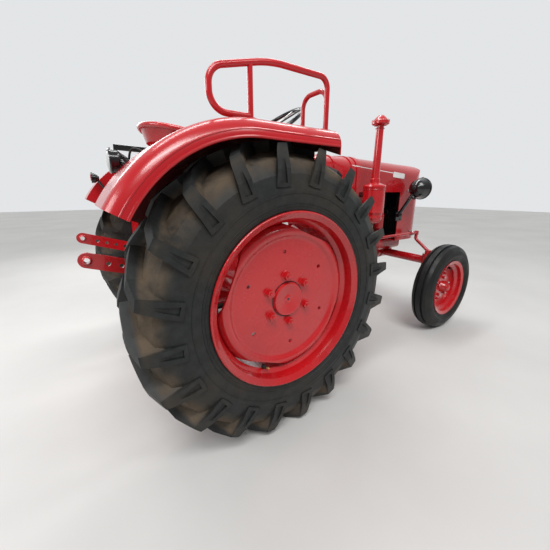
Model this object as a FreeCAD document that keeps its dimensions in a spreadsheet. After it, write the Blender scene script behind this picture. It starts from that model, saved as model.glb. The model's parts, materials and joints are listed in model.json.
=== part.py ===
import FreeCAD, Part
import math
import os

import Sketcher

# A light diesel farm tractor. +X is forward, +Y is its left side and +Z is up.
# The ground is z = 0, and x = 0 is the middle of its length.
# All lengths are in millimetres and all angles in degrees.

Vector = FreeCAD.Vector
doc = FreeCAD.newDocument("FarmTractor")
sheet = doc.addObject("Spreadsheet::Sheet", "Sizes")


# Driving sizes: alias, value, meaning
SIZES = (
    ("rear_axle_x", -650.35, "rear axle from the middle of the length"),
    ("wheelbase", 1690, "rear axle to front axle"),
    ("fit_gap", 0.3, "gap between pieces that seat on each other"),
    ("running_gap", 0.6, "gap round a turning pin or shaft"),
    ("sheet_wall", 4, "panel thickness"),
    # Rear wheels
    ("rear_axle_z", 643, "rear axle above the ground"),
    ("rear_wheel_y", 662, "rear tyre's middle plane from the centreline"),
    ("rear_tyre_radius", 643, "over the lugs"),
    ("rear_tyre_width", 300, "over the sidewalls"),
    ("rear_carcass_radius", 604, "between the lugs, at the middle"),
    ("rear_shoulder_radius", 566, "between the lugs, at the shoulder"),
    ("rear_lug_shoulder", 621, "lug's outer corner radius"),
    ("rear_lug_end", 472, "lowest point of a lug on the sidewall"),
    ("rear_lug_width", 62, "lug's length round the tyre at its root"),
    ("lug_inner_lead", 52, "lug's slant in the middle of the tread"),
    ("lug_outer_lead", 32, "lug's slant towards the sidewall"),
    ("lug_pad_width", 64, "lug's end on the sidewall"),
    ("rear_lug_draft", 26, "lug is narrower at its crest than at its root"),
    ("rear_lug_count", 20, "lugs on each side of a tyre"),
    ("rear_bead_radius", 356, "rim seat"),
    ("rear_flange_radius", 381, "rim flange"),
    ("rear_rim_width", 276, "over the flanges"),
    ("rear_rim_wall", 6, "rim thickness"),
    ("rear_well_radius", 337, "rim's drop centre"),
    ("rear_disc_inset", 55, "disc face behind the outer flange"),
    ("rear_disc_wall", 10, "disc thickness"),
    ("disc_dip_radius", 20, "bend from the disc's flat to its ridge"),
    ("disc_crest_radius", 28, "bend over the disc's ridge"),
    ("rear_disc_flat_radius", 262, "flat part of the disc"),
    ("disc_cut_distance", 294, "chord cut from the axle"),
    ("disc_cut_angle", 67, "first chord cut, from +X"),
    ("disc_cut_count", 4, "chord cuts"),
    ("rear_cap_radius", 78, "hub cap"),
    ("rear_stud_circle", 107, "radius of the wheel nuts' circle"),
    ("rear_hole_circle", 212, "radius of the disc holes' circle"),
    ("rear_hole_radius", 9, "disc holes"),
    ("rear_nut_radius", 18, "wheel nuts, over the corners"),
    ("rear_stud_count", 6, "wheel nuts and disc holes"),
    ("rear_stud_angle", 35, "first wheel nut, from +X"),
    ("rear_hub_radius", 140, "axle flange"),
    ("rear_shaft_radius", 36, "axle shaft"),
    ("brake_drum_radius", 178, "brake drum"),
    ("brake_drum_depth", 72, "brake drum"),
    ("brake_gap", 8, "backing plate to drum"),
    # Front wheels
    ("front_axle_z", 345, "front axle above the ground"),
    ("front_wheel_y", 604, "front tyre's middle plane from the centreline"),
    ("front_tyre_radius", 345, "over the ribs"),
    ("front_tyre_width", 158, "over the sidewalls"),
    ("front_bead_radius", 203, "rim seat"),
    ("front_flange_radius", 223, "rim flange"),
    ("front_rim_width", 120, "over the flanges"),
    ("front_rim_wall", 5, "rim thickness"),
    ("front_well_radius", 176, "rim's drop centre"),
    ("front_disc_inset", 62, "disc face behind the outer flange"),
    ("front_hub_radius", 52, "hub"),
    ("front_hub_reach", 42, "hub past the disc"),
    ("front_stud_circle", 76, "radius of the wheel nuts' circle"),
    ("front_stud_count", 5, "wheel nuts"),
    ("rib_groove_depth", 12, "groove between the front tyre's ribs"),
    ("rib_groove_width", 13, "groove between the front tyre's ribs"),
    ("rib_groove_y", 26, "groove from the tyre's middle plane"),
    # Front axle and steering
    ("kingpin_y", 460, "kingpin from the centreline"),
    ("kingpin_radius", 17, "kingpin"),
    ("beam_z", 542, "axle beam above the ground, at the middle"),
    ("beam_end_z", 534, "axle beam above the ground, at the kingpins"),
    ("beam_radius", 35, "axle beam"),
    ("kingpin_boss_radius", 34, "boss at the beam's end"),
    ("kingpin_boss_height", 118, "boss at the beam's end"),
    ("spindle_radius", 23, "stub axle"),
    ("steering_arm_reach", 130, "kingpin to drag link ball"),
    ("drag_link_z", 755, "drag link above the ground"),
    ("drag_link_radius", 11, "drag link tube"),
    ("ball_radius", 17, "drag link ends"),
    ("drop_arm_length", 150, "drop arm, pin to ball"),
    ("drop_arm_x", 800, "drop arm pivot in front of the rear axle"),
    ("drop_arm_wall", 14, "drop arm thickness"),
    ("drop_arm_gap", 9, "drop arm to the drag link's end"),
    ("drop_shaft_radius", 19, "drop arm shaft"),
    ("column_lean", 35, "steering column from the vertical"),
    ("wheel_hub_x", 425, "steering wheel in front of the rear axle"),
    ("wheel_hub_z", 1492, "steering wheel above the ground"),
    ("hand_wheel_radius", 205, "steering wheel, to the rim's middle"),
    ("hand_rim_radius", 12, "steering wheel rim"),
    ("hand_spoke_radius", 5, "steering wheel spokes"),
    ("hand_spoke_count", 3, "steering wheel spokes"),
    ("column_radius", 22, "steering column tube"),
    # Transmission and rear axle
    ("case_rear", 220, "transmission case behind the rear axle"),
    ("case_front", 300, "transmission case in front of the rear axle"),
    ("case_half", 165, "transmission case, half width"),
    ("case_bottom", 440, "transmission case above the ground"),
    ("case_top", 828, "transmission case above the ground"),
    ("case_corner", 45, "transmission case corners"),
    ("trumpet_root_radius", 112, "axle housing at the case"),
    ("trumpet_end_radius", 74, "axle housing at the wheel"),
    ("trumpet_flange_radius", 138, "axle housing flange"),
    ("trumpet_flange", 26, "axle housing flange thickness"),
    ("clutch_half", 140, "clutch housing, half width"),
    ("clutch_bottom", 470, "clutch housing above the ground"),
    ("clutch_top", 800, "clutch housing above the ground"),
    ("bell_start", 610, "start of the bell housing"),
    ("bell_end", 860, "back of the engine"),
    ("bell_half", 205, "bell housing, half width"),
    ("bell_bottom", 430, "bell housing above the ground"),
    ("bell_top", 880, "bell housing above the ground"),
    # Engine
    ("engine_setback", 240, "front of the engine behind the front axle"),
    ("block_half", 140, "cylinder block, half width"),
    ("block_bottom", 520, "cylinder block above the ground"),
    ("block_top", 925, "cylinder block above the ground"),
    ("head_half", 118, "cylinder head, half width"),
    ("head_top", 1052, "cylinder head above the ground"),
    ("cover_half", 80, "valve cover, half width"),
    ("cover_top", 1118, "valve cover above the ground"),
    ("sump_half", 118, "oil sump, half width"),
    ("pulley_radius", 58, "crank pulley"),
    ("pulley_length", 34, "crank pulley"),
    ("sump_bottom", 412, "oil sump above the ground"),
    ("cylinder_count", 3, "cylinders"),
    ("fan_radius", 175, "cooling fan"),
    ("fan_z", 905, "cooling fan axis"),
    ("fan_blade_count", 4, "cooling fan blades"),
    ("exhaust_radius", 24, "exhaust pipe"),
    ("manifold_radius", 30, "exhaust manifold"),
    ("silencer_radius", 50, "silencer"),
    ("exhaust_hanger_x", 400, "exhaust hanger in front of the rear axle"),
    # Front end
    ("bolster_half", 120, "front bolster, half width"),
    ("bolster_bottom", 582, "front bolster above the ground"),
    ("bolster_top", 690, "front bolster above the ground"),
    ("bolster_reach", 90, "front bolster in front of the front axle"),
    ("pivot_pin_radius", 20, "axle pivot pin"),
    ("pivot_boss_radius", 46, "axle pivot bosses"),
    ("beam_hub_length", 104, "beam's middle boss"),
    ("hood_half", 250, "hood, half width"),
    ("hood_rear", 994, "hood's rear edge"),
    ("hood_top", 1341, "hood's top at its rear edge"),
    ("hood_fall", 1.9, "slope of the hood's top"),
    ("hood_shoulder", 98, "hood's shoulder radius"),
    ("hood_bottom", 1090, "hood's lower edge"),
    ("nose_reach", 210, "nose in front of the front axle"),
    ("nose_corner", 170, "nose corner radius in plan"),
    ("nose_brow", 225, "nose brow radius from the side"),
    ("shell_setback", 178, "nose shell's rear edge behind the front axle"),
    ("grille_half", 150, "grille, half width"),
    ("grille_bottom", 745, "grille's lower edge"),
    ("grille_top", 1115, "grille's upper edge"),
    ("grille_bar_count", 11, "grille bars"),
    ("grille_slot", 14, "width of a grille slot"),
    ("radiator_setback", 45, "radiator's front behind the front axle"),
    ("radiator_depth", 85, "radiator"),
    ("radiator_half", 200, "radiator, half width"),
    ("radiator_top", 1235, "radiator's top"),
    ("cowl_rear", 590, "dash panel in front of the rear axle"),
    ("cowl_bottom", 985, "cowl's lower edge"),
    ("cowl_band", 6, "raised bands of the cowl"),
    # Air cleaner
    ("cleaner_x", 1000, "air cleaner in front of the rear axle"),
    ("cleaner_y", 382, "air cleaner from the centreline"),
    ("cleaner_radius", 73, "air cleaner"),
    ("cleaner_bottom", 884, "air cleaner above the ground"),
    ("cleaner_top", 1151, "air cleaner above the ground"),
    ("stack_radius", 26, "intake stack"),
    ("stack_top", 1512, "intake stack above the ground"),
    ("cap_radius", 54, "intake cap"),
    ("cap_top", 1560, "intake cap above the ground"),
    # Fenders
    ("fender_inner_y", 448, "fender's inner panel"),
    ("fender_outer_y", 800, "fender's outer lip"),
    ("fender_centre_x", 150, "fender arc's centre behind the rear axle"),
    ("fender_centre_z", 760, "fender arc's centre above the ground"),
    ("fender_radius", 576, "fender crown"),
    ("fender_roll", 66, "radius of the fender's outer edge"),
    ("fender_skirt", 112, "depth of the fender's inner panel"),
    ("fender_flat", 370, "straight front part of the fender"),
    ("fender_sweep", 60, "angle of the fender's arc"),
    ("fender_plate_bottom", 905, "lower edge of the fender's inner plate"),
    # Handrail on the right fender
    ("rail_radius", 11, "handrail tube"),
    ("rail_y", 700, "handrail from the centreline"),
    ("rail_inner_y", 547, "handrail's inner leg"),
    ("rail_front", 222, "handrail's front legs"),
    ("rail_post", 140, "handrail's rear post, behind the rear axle"),
    ("rail_loop", 293, "handrail's loop, behind the rear axle"),
    ("rail_fall_start", 60, "start of the handrail's fall, behind the rear axle"),
    ("rail_fall", 60, "fall of the handrail to its loop"),
    ("rail_hoop_drop", 37, "front hoop below the handrail"),
    ("rail_rise", 200, "handrail above the fender"),
    ("rail_return_rise", 13, "handrail's lower return above the fender"),
    # Seat
    ("seat_x", 180, "seat's middle behind the rear axle"),
    ("seat_rim_z", 1370, "seat's rim at its middle"),
    ("seat_radius", 200, "seat"),
    ("seat_depth", 108, "seat"),
    ("seat_tilt", 11, "backward tilt of the seat"),
    ("seat_roll", 13, "rolled rim of the seat"),
    ("seat_bar_width", 60, "seat spring"),
    ("seat_bar_wall", 14, "seat spring"),
    # Platform and controls
    ("plate_rear", 225, "footplate's rear edge"),
    ("plate_front", 790, "footplate's front edge"),
    ("plate_outer_y", 470, "footplate's outer edge"),
    ("plate_z", 560, "footplate above the ground"),
    ("plate_wall", 6, "footplate thickness"),
    ("plate_rim", 32, "footplate's turned edge"),
    ("pedal_y", 245, "pedals from the centreline"),
    ("pedal_width", 70, "pedal pads"),
    ("lever_radius", 8, "gear levers"),
    ("gear_lever_x", 420, "gear lever in front of the rear axle"),
    ("range_lever_x", 350, "range lever in front of the rear axle"),
    # Rear linkage
    ("link_pivot_x", 165, "lower link's front pin, behind the rear axle"),
    ("link_pivot_z", 656, "lower link's front pin above the ground"),
    ("link_y", 345, "lower link from the centreline"),
    ("link_length", 566, "lower link, pin to ball"),
    ("link_rise", 18, "lower link's rise as parked"),
    ("link_height", 62, "lower link bar"),
    ("link_wall", 16, "lower link bar"),
    ("link_bore", 11.2, "radius of the hitch ball's bore"),
    ("link_ball", 21, "hitch ball"),
    ("link_hole_radius", 9, "holes along the lower link"),
    ("link_pin_radius", 12, "lower link's front pin"),
    ("rod_station", 270, "lift rod's pin along the lower link"),
    ("rod_wall", 12, "lift rod bar"),
    ("rod_width", 36, "lift rod bar"),
    ("rod_y", 320, "lift rod from the centreline"),
    ("rod_pin_radius", 9, "lift rod's pins"),
    ("lift_shaft_x", 205, "lift shaft behind the rear axle"),
    ("lift_shaft_z", 900, "lift shaft above the ground"),
    ("lift_shaft_radius", 24, "lift shaft"),
    ("lift_arm_length", 240, "lift arm, shaft to pin"),
    ("lift_arm_rise", 32, "lift arm's rise as parked"),
    ("lift_arm_wall", 15, "lift arm"),
    ("lift_arm_gap", 9, "lift arm to lift rod"),
    ("cover_rear", 262, "lift housing behind the rear axle"),
    ("cover_front", 140, "lift housing in front of the rear axle"),
    ("lift_cover_half", 150, "lift housing, half width"),
    ("lift_cover_top", 956, "lift housing above the ground"),
    ("top_link_z", 842, "top link's pin above the ground"),
    ("top_link_bore", 9.8, "radius of the top link's pin hole"),
    ("top_link_gap", 52, "between the top link's ears"),
    ("drawbar_z", 400, "drawbar above the ground"),
    ("drawbar_rear", 520, "drawbar's end behind the rear axle"),
    ("drawbar_width", 64, "drawbar"),
    ("drawbar_wall", 26, "drawbar"),
    ("drawbar_bore", 14, "radius of the drawbar's pin hole"),
    ("drawbar_pin_inset", 34, "pin hole from the drawbar's end"),
    ("pto_z", 590, "power take-off above the ground"),
    ("pto_radius", 17.4, "power take-off shaft"),
    ("pto_length", 92, "power take-off shaft"),
    # Lamps
    ("headlamp_setback", 118, "headlamp behind the front axle"),
    ("headlamp_y", 365, "headlamp from the centreline"),
    ("headlamp_z", 1117, "headlamp above the ground"),
    ("headlamp_radius", 80, "headlamp"),
    ("headlamp_depth", 118, "headlamp"),
    ("lamp_arm_radius", 14, "headlamp bracket"),
    ("work_lamp_radius", 42, "rear work lamp"),
    ("work_lamp_x", 545, "rear work lamp behind the rear axle"),
    ("work_lamp_y", 395, "rear work lamp from the centreline"),
    ("work_lamp_z", 1203, "rear work lamp above the ground"),
    ("tail_lamp_radius", 28, "tail lamp"),
    ("tail_lamp_x", 585, "tail lamp behind the rear axle"),
    ("tail_lamp_y", 395, "tail lamp from the centreline"),
    ("tail_lamp_z", 1172, "tail lamp above the ground"),
)


class Size:
    """A number together with the formula that binds it to the spreadsheet."""

    def __init__(self, value, text):
        self.value = value
        self.text = text

    def __add__(self, other):
        return Size(self.value + number(other), f"({self.text} + {formula(other)})")

    def __sub__(self, other):
        return Size(self.value - number(other), f"({self.text} - {formula(other)})")

    def __mul__(self, other):
        return Size(self.value * number(other), f"({self.text} * {formula(other)})")

    def __truediv__(self, other):
        return Size(self.value / number(other), f"({self.text} / {formula(other)})")

    def __radd__(self, other):
        return self + other

    def __rmul__(self, other):
        return self * other

    def __rsub__(self, other):
        return Size(number(other) - self.value, f"({formula(other)} - {self.text})")

    def __neg__(self):
        return 0 - self


def number(size):
    return size.value if isinstance(size, Size) else float(size)


def formula(size):
    return size.text if isinstance(size, Size) else f"({float(size)})"


def sine(angle):
    return Size(math.sin(math.radians(number(angle))), f"sin({formula(angle)})")


def cosine(angle):
    return Size(math.cos(math.radians(number(angle))), f"cos({formula(angle)})")


def root(size):
    return Size(math.sqrt(number(size)), f"sqrt({formula(size)})")


class Dimensions:
    """The spreadsheet's cells by their aliases."""


dim = Dimensions()
for row, (alias, value, meaning) in enumerate(SIZES, start=1):
    sheet.set(f"A{row}", alias)
    sheet.set(f"B{row}", str(value))
    sheet.set(f"C{row}", meaning)
    sheet.setAlias(f"B{row}", alias)
    setattr(dim, alias, Size(float(value), f"Sizes.{alias}"))
doc.recompute()

nodes = []

# Places that follow from the driving sizes, in front of the rear axle or above the ground
engine_front = dim.wheelbase - dim.engine_setback
shell_rear = dim.wheelbase - dim.shell_setback
radiator_front = dim.wheelbase - dim.radiator_setback
headlamp_x = dim.wheelbase - dim.headlamp_setback
bolster_front = dim.wheelbase + dim.bolster_reach
nose_tip = dim.wheelbase + dim.nose_reach
fender_top = dim.fender_centre_z + dim.fender_radius
rail_top = fender_top + dim.rail_rise
rail_return = fender_top + dim.rail_return_rise


def fore(distance):
    """A place given by its distance in front of the rear axle."""
    return dim.rear_axle_x + distance


def bind(thing, **properties):
    for name, size in properties.items():
        setattr(thing, name, number(size))
        if isinstance(size, Size):
            thing.setExpression(name, size.text)


def place(thing, at, axis=(0, 0, 1), angle=0):
    turn = FreeCAD.Rotation(Vector(*axis), number(angle))
    thing.Placement = FreeCAD.Placement(Vector(*[number(size) for size in at]), turn)
    for letter, size in zip("xyz", at):
        if isinstance(size, Size):
            thing.setExpression("Placement.Base." + letter, size.text)
    if isinstance(angle, Size):
        thing.setExpression("Placement.Rotation.Angle", angle.text)
    return thing


# A primitive's own axis is +Z. These turns lay it along a row axis.
ALONG = {"x": ((0, 1, 0), 90), "y": ((1, 0, 0), -90), "z": ((0, 0, 1), 0)}


def box(name, low, high):
    """A box between two opposite corners."""
    thing = doc.addObject("Part::Box", name)
    spans = [top - bottom for bottom, top in zip(low, high)]
    bind(thing, Length=spans[0], Width=spans[1], Height=spans[2])
    return place(thing, low)


def cylinder(name, radius, length, at, along="z"):
    thing = doc.addObject("Part::Cylinder", name)
    bind(thing, Radius=radius, Height=length)
    return place(thing, at, *ALONG[along])


def cone(name, low_radius, high_radius, length, at, along="z"):
    thing = doc.addObject("Part::Cone", name)
    bind(thing, Radius1=low_radius, Radius2=high_radius, Height=length)
    return place(thing, at, *ALONG[along])


def hexagon(name, radius, length, at):
    """A hexagonal nut or bolt head that points along +Y."""
    thing = doc.addObject("Part::Prism", name)
    thing.Polygon = 6
    bind(thing, Circumradius=radius, Height=length)
    return place(thing, at, *ALONG["y"])


def fuse(name, *things):
    thing = doc.addObject("Part::MultiFuse", name)
    thing.Shapes = list(things)
    thing.Refine = True
    return thing


def cut(name, base, *tools):
    thing = doc.addObject("Part::Cut", name)
    thing.Base = base
    thing.Tool = tools[0] if len(tools) == 1 else fuse(name + "_tools", *tools)
    thing.Refine = True
    return thing


def common(name, *things):
    thing = doc.addObject("Part::MultiCommon", name)
    thing.Shapes = list(things)
    return thing


def mirrored(name, source):
    """The same piece on the tractor's other side."""
    thing = doc.addObject("Part::Mirroring", name)
    thing.Source = source
    thing.Base = Vector(0, 0, 0)
    thing.Normal = Vector(0, 1, 0)
    return thing


def node(label, thing):
    thing.Label = label
    nodes.append(thing)
    return thing


def arc_centre(start, end, radius, turn):
    """Centre of the short arc from start to end that turns left (+1) or right (-1)."""
    chord = end - start
    half = chord.Length / 2
    rise = math.sqrt(max(radius * radius - half * half, 0))
    left = Vector(-chord.y, chord.x, 0).normalize()
    return (start + end) * 0.5 + left * rise * turn


def draw(sketch, outline):
    """A closed outline of corners (u, v) or arc ends (u, v, radius, turn)."""
    points = [Vector(number(corner[0]), number(corner[1]), 0) for corner in outline]
    ends = []
    for index, corner in enumerate(outline):
        start = points[index - 1]
        end = points[index]
        if len(corner) == 2:
            sketch.addGeometry(Part.LineSegment(start, end))
            ends.append((1, 2))
            continue
        radius, turn = number(corner[2]), corner[3]
        centre = arc_centre(start, end, radius, turn)
        circle = Part.Circle(centre, Vector(0, 0, 1), radius)
        angles = [math.atan2(point.y - centre.y, point.x - centre.x) for point in (start, end)]
        if turn < 0:
            angles.reverse()
        sketch.addGeometry(Part.ArcOfCircle(circle, angles[0], angles[1]))
        ends.append((1, 2) if turn > 0 else (2, 1))
    for index, corner in enumerate(outline):
        following = (index + 1) % len(outline)
        joint = (index, ends[index][1], following, ends[following][0])
        sketch.addConstraint(Sketcher.Constraint("Coincident", *joint))
        for kind, size in (("DistanceX", corner[0]), ("DistanceY", corner[1])):
            rule = Sketcher.Constraint(kind, -1, 1, index, ends[index][1], number(size))
            place_in_list = sketch.addConstraint(rule)
            if isinstance(size, Size):
                sketch.setExpression(f"Constraints[{place_in_list}]", size.text)
        if len(corner) == 4:
            rule = Sketcher.Constraint("Radius", index, number(corner[2]))
            place_in_list = sketch.addConstraint(rule)
            if isinstance(corner[2], Size):
                sketch.setExpression(f"Constraints[{place_in_list}]", corner[2].text)


def sketched_body(name, plane, outline):
    body = doc.addObject("PartDesign::Body", name)
    sketch = body.newObject("Sketcher::SketchObject", name + "_outline")
    faces = [face for face in body.Origin.OriginFeatures if face.Role == plane]
    sketch.AttachmentSupport = [(faces[0], "")]
    sketch.MapMode = "FlatFace"
    draw(sketch, outline)
    return body, sketch


def pad(name, plane, outline, length, at, both_ways=False):
    """An outline in a plane of the body, padded along that plane's normal."""
    body, sketch = sketched_body(name, plane, outline)
    feature = body.newObject("PartDesign::Pad", name + "_pad")
    feature.Profile = sketch
    bind(feature, Length=length)
    if both_ways:
        feature.SideType = "Symmetric"
    return place(body, at)


def revolve(name, plane, outline, axis, at, angle=360, turn=((0, 0, 1), 0)):
    """An outline in a plane of the body, revolved round an axis of its sketch."""
    body, sketch = sketched_body(name, plane, outline)
    feature = body.newObject("PartDesign::Revolution", name + "_turned")
    feature.Profile = sketch
    feature.ReferenceAxis = (sketch, [axis])
    bind(feature, Angle=angle)
    return place(body, at, *turn)


def rounded_rectangle(low_u, low_v, high_u, high_v, radius):
    return (
        (high_u - radius, low_v),
        (high_u, low_v + radius, radius, 1),
        (high_u, high_v - radius),
        (high_u - radius, high_v, radius, 1),
        (low_u + radius, high_v),
        (low_u, high_v - radius, radius, 1),
        (low_u, low_v + radius),
        (low_u + radius, low_v, radius, 1),
    )


def rounded_box(name, low, high, radius):
    """A box whose four edges along X are rounded."""
    outline = rounded_rectangle(low[1], low[2], high[1], high[2], radius)
    return pad(name, "YZ_Plane", outline, high[0] - low[0], (low[0], 0, 0))


def bar(name, start, end, width, wall, middle_y, end_radius):
    """A flat bar with round ends that stands on edge between two points (x, z)."""
    run = root((end[0] - start[0]) * (end[0] - start[0])
               + (end[1] - start[1]) * (end[1] - start[1]))
    along_x = (end[0] - start[0]) / run
    along_z = (end[1] - start[1]) / run
    across = width / 2
    outline = [
        (start[0] + along_z * across, start[1] - along_x * across),
        (end[0] + along_z * across, end[1] - along_x * across),
        (end[0] - along_z * across, end[1] + along_x * across),
        (start[0] - along_z * across, start[1] + along_x * across),
    ]
    strip = pad(name + "_strip", "XZ_Plane", outline, wall, (0, middle_y, 0), both_ways=True)
    eyes = [
        cylinder(f"{name}_eye_{index}", end_radius, wall, (x, middle_y - wall / 2, z), "y")
        for index, (x, z) in enumerate((start, end))
    ]
    return fuse(name, strip, *eyes)


def spine(points, bends):
    """Straight runs through points, with an arc of its own radius at each corner."""
    places = [Vector(*[number(size) for size in point]) for point in points]
    edges = []
    start = places[0]
    for before, corner, after, bend in zip(places, places[1:], places[2:], bends):
        toward = (before - corner).normalize()
        away = (after - corner).normalize()
        half = math.acos(toward.dot(away)) / 2
        reach = number(bend) / math.tan(half)
        first = corner + toward * reach
        last = corner + away * reach
        centre_way = (toward + away).normalize()
        middle = corner + centre_way * (number(bend) / math.sin(half) - number(bend))
        edges.append(Part.LineSegment(start, first).toShape())
        edges.append(Part.Arc(first, middle, last).toShape())
        start = last
    edges.append(Part.LineSegment(start, places[-1]).toShape())
    return Part.Wire(edges), places


def tube(name, points, radius, *bends):
    """A round bar through points, with a bend radius for each corner."""
    path, places = spine(points, bends)
    section = Part.Wire(Part.makeCircle(number(radius), places[0], places[1] - places[0]))
    thing = doc.addObject("Part::Feature", name)
    thing.Shape = path.makePipeShell([section], True, False)
    return thing


def strap(name, points, width, wall, *bends):
    """A flat strip through points of the middle plane, as wide as width across it."""
    path, places = spine(points, bends)
    way = (places[1] - places[0]).normalize()
    rise = way.cross(Vector(0, 1, 0)) * (number(wall) / 2)
    side = Vector(0, number(width) / 2, 0)
    corners = [places[0] + rise + side, places[0] + rise - side,
               places[0] - rise - side, places[0] - rise + side]
    section = Part.makePolygon(corners + corners[:1])
    thing = doc.addObject("Part::Feature", name)
    thing.Shape = path.makePipeShell([section], True, False)
    return thing


def ring(count, first_angle, circle, centre):
    """Places (x, z) on a circle round a centre, one for each copy."""
    step = 360 / number(count)
    return [
        (centre[0] + circle * cosine(first_angle + step * copy),
         centre[1] + circle * sine(first_angle + step * copy))
        for copy in range(int(number(count)))
    ]


# Rear wheels


def rear_tyre():
    """Carcass and lugs. Each lug is a bar cut to the tread's envelope."""
    half = dim.rear_tyre_width / 2
    rim_half = dim.rear_rim_width / 2
    bead = dim.rear_bead_radius + dim.fit_gap
    carcass = revolve("rear_carcass", "YZ_Plane", (
        (-rim_half + 9, bead),
        (rim_half - 9, bead),
        (rim_half + 1, dim.rear_flange_radius + 5),
        (half, dim.rear_flange_radius + 78),
        (half - 8, dim.rear_shoulder_radius - 50),
        (half - 30, dim.rear_shoulder_radius),
        (half * 0.45, dim.rear_carcass_radius - 8),
        (-half * 0.45, dim.rear_carcass_radius - 8),
        (-half + 30, dim.rear_shoulder_radius),
        (-half + 8, dim.rear_shoulder_radius - 50),
        (-half, dim.rear_flange_radius + 78),
        (-rim_half - 1, dim.rear_flange_radius + 5),
    ), "H_Axis", (0, 0, 0))
    envelope = revolve("rear_envelope", "YZ_Plane", (
        (-12, dim.rear_lug_end),
        (half + 3, dim.rear_lug_end),
        (half + 3, dim.rear_shoulder_radius - 30),
        (half - 16, dim.rear_lug_shoulder),
        (half * 0.5, dim.rear_tyre_radius),
        (-12, dim.rear_tyre_radius),
    ), "H_Axis", (0, 0, 0))
    doc.recompute()
    base = number(dim.rear_lug_end) - 6
    width = number(dim.rear_lug_width)
    pad_width = number(dim.lug_pad_width)
    reach = number(half) + 4
    middle = reach * 0.48
    inner_run = middle * math.tan(math.radians(number(dim.lug_inner_lead)))
    outer_run = (reach - middle) * math.tan(math.radians(number(dim.lug_outer_lead)))
    first = (inner_run + outer_run) / 2
    bend = first - inner_run
    last = -first
    crest = number(dim.rear_tyre_radius) + 20
    draft = number(dim.rear_lug_draft)
    outlines = []
    for height, spread in ((base, 0), (crest, -draft)):
        # Plan of a lug, seen along the radius: (forward, outward)
        slim = (width + spread) / 2
        broad = (pad_width + spread) / 2
        plan = (
            (first + slim, -12),
            (bend + slim, middle),
            (last + broad, reach * 0.86),
            (last + broad, reach),
            (last - broad, reach),
            (last - broad, reach * 0.90),
            (bend - slim, middle),
            (first - slim, -12),
        )
        outlines.append(Part.makePolygon([Vector(x, y, height) for x, y in plan + plan[:1]]))
    blank = Part.makeLoft(outlines, True, True)
    # Pocket in the lug's end on the sidewall, narrow above and wide below: (forward, radius)
    pocket_floor = number(half) - 4
    pocket_top = number(dim.rear_shoulder_radius)
    pocket_foot = number(dim.rear_lug_end) + 10
    pocket = ((last - 5, pocket_top), (last + 5, pocket_top),
              (last + 15, pocket_foot), (last - 15, pocket_foot))
    mouth = Part.makePolygon([Vector(x, pocket_floor, z) for x, z in pocket + pocket[:1]])
    recess = Part.Face(mouth).extrude(Vector(0, 20, 0))
    lug = blank.common(envelope.Shape).cut(recess)
    step = 360 / number(dim.rear_lug_count)
    lugs = []
    for copy in range(int(number(dim.rear_lug_count))):
        left = lug.copy()
        left.rotate(Vector(0, 0, 0), Vector(0, 1, 0), step * copy)
        right = lug.mirror(Vector(0, 0, 0), Vector(0, 1, 0))
        right.rotate(Vector(0, 0, 0), Vector(0, 1, 0), step * (copy + 0.5))
        lugs += [left, right]
    thing = doc.addObject("Part::Feature", "rear_tyre_left")
    thing.Shape = carcass.Shape.fuse(lugs).removeSplitter()
    return place(thing, (fore(0), dim.rear_wheel_y, dim.rear_axle_z))


def rear_rim():
    """Drop-centre rim with rolled flanges, its tyre side and its open side."""
    half = dim.rear_rim_width / 2
    wall = dim.rear_rim_wall
    roll = 7
    lip = dim.rear_flange_radius - roll
    outer = (
        (-half + 2, lip),
        (-half + 8, dim.rear_bead_radius),
        (-half + 50, dim.rear_bead_radius - 2),
        (-half + 66, dim.rear_well_radius),
        (half - 66, dim.rear_well_radius),
        (half - 50, dim.rear_bead_radius - 2),
        (half - 8, dim.rear_bead_radius),
        (half - 2, lip),
    )
    inner = (
        (half - 2 + roll, lip + roll, roll, -1),
        (half - 2 + 2 * roll, lip, roll, -1),
        (half - 2 + wall, lip - 10),
        (half - 5, dim.rear_bead_radius - wall + 2),
        (half - 46, dim.rear_bead_radius - 2 - wall),
        (half - 62, dim.rear_well_radius - wall),
        (-half + 62, dim.rear_well_radius - wall),
        (-half + 46, dim.rear_bead_radius - 2 - wall),
        (-half + 5, dim.rear_bead_radius - wall + 2),
        (-half + 2 - wall, lip - 10),
        (-half + 2 - 2 * roll, lip),
        (-half + 2 - roll, lip + roll, roll, -1),
    )
    # The inner bead's arc closes the outline at its first corner.
    rim = ((-half + 2, lip, roll, -1),) + outer[1:] + inner
    at = (fore(0), dim.rear_wheel_y, dim.rear_axle_z)
    return revolve("rear_rim_left", "YZ_Plane", rim, "H_Axis", at)


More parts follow.
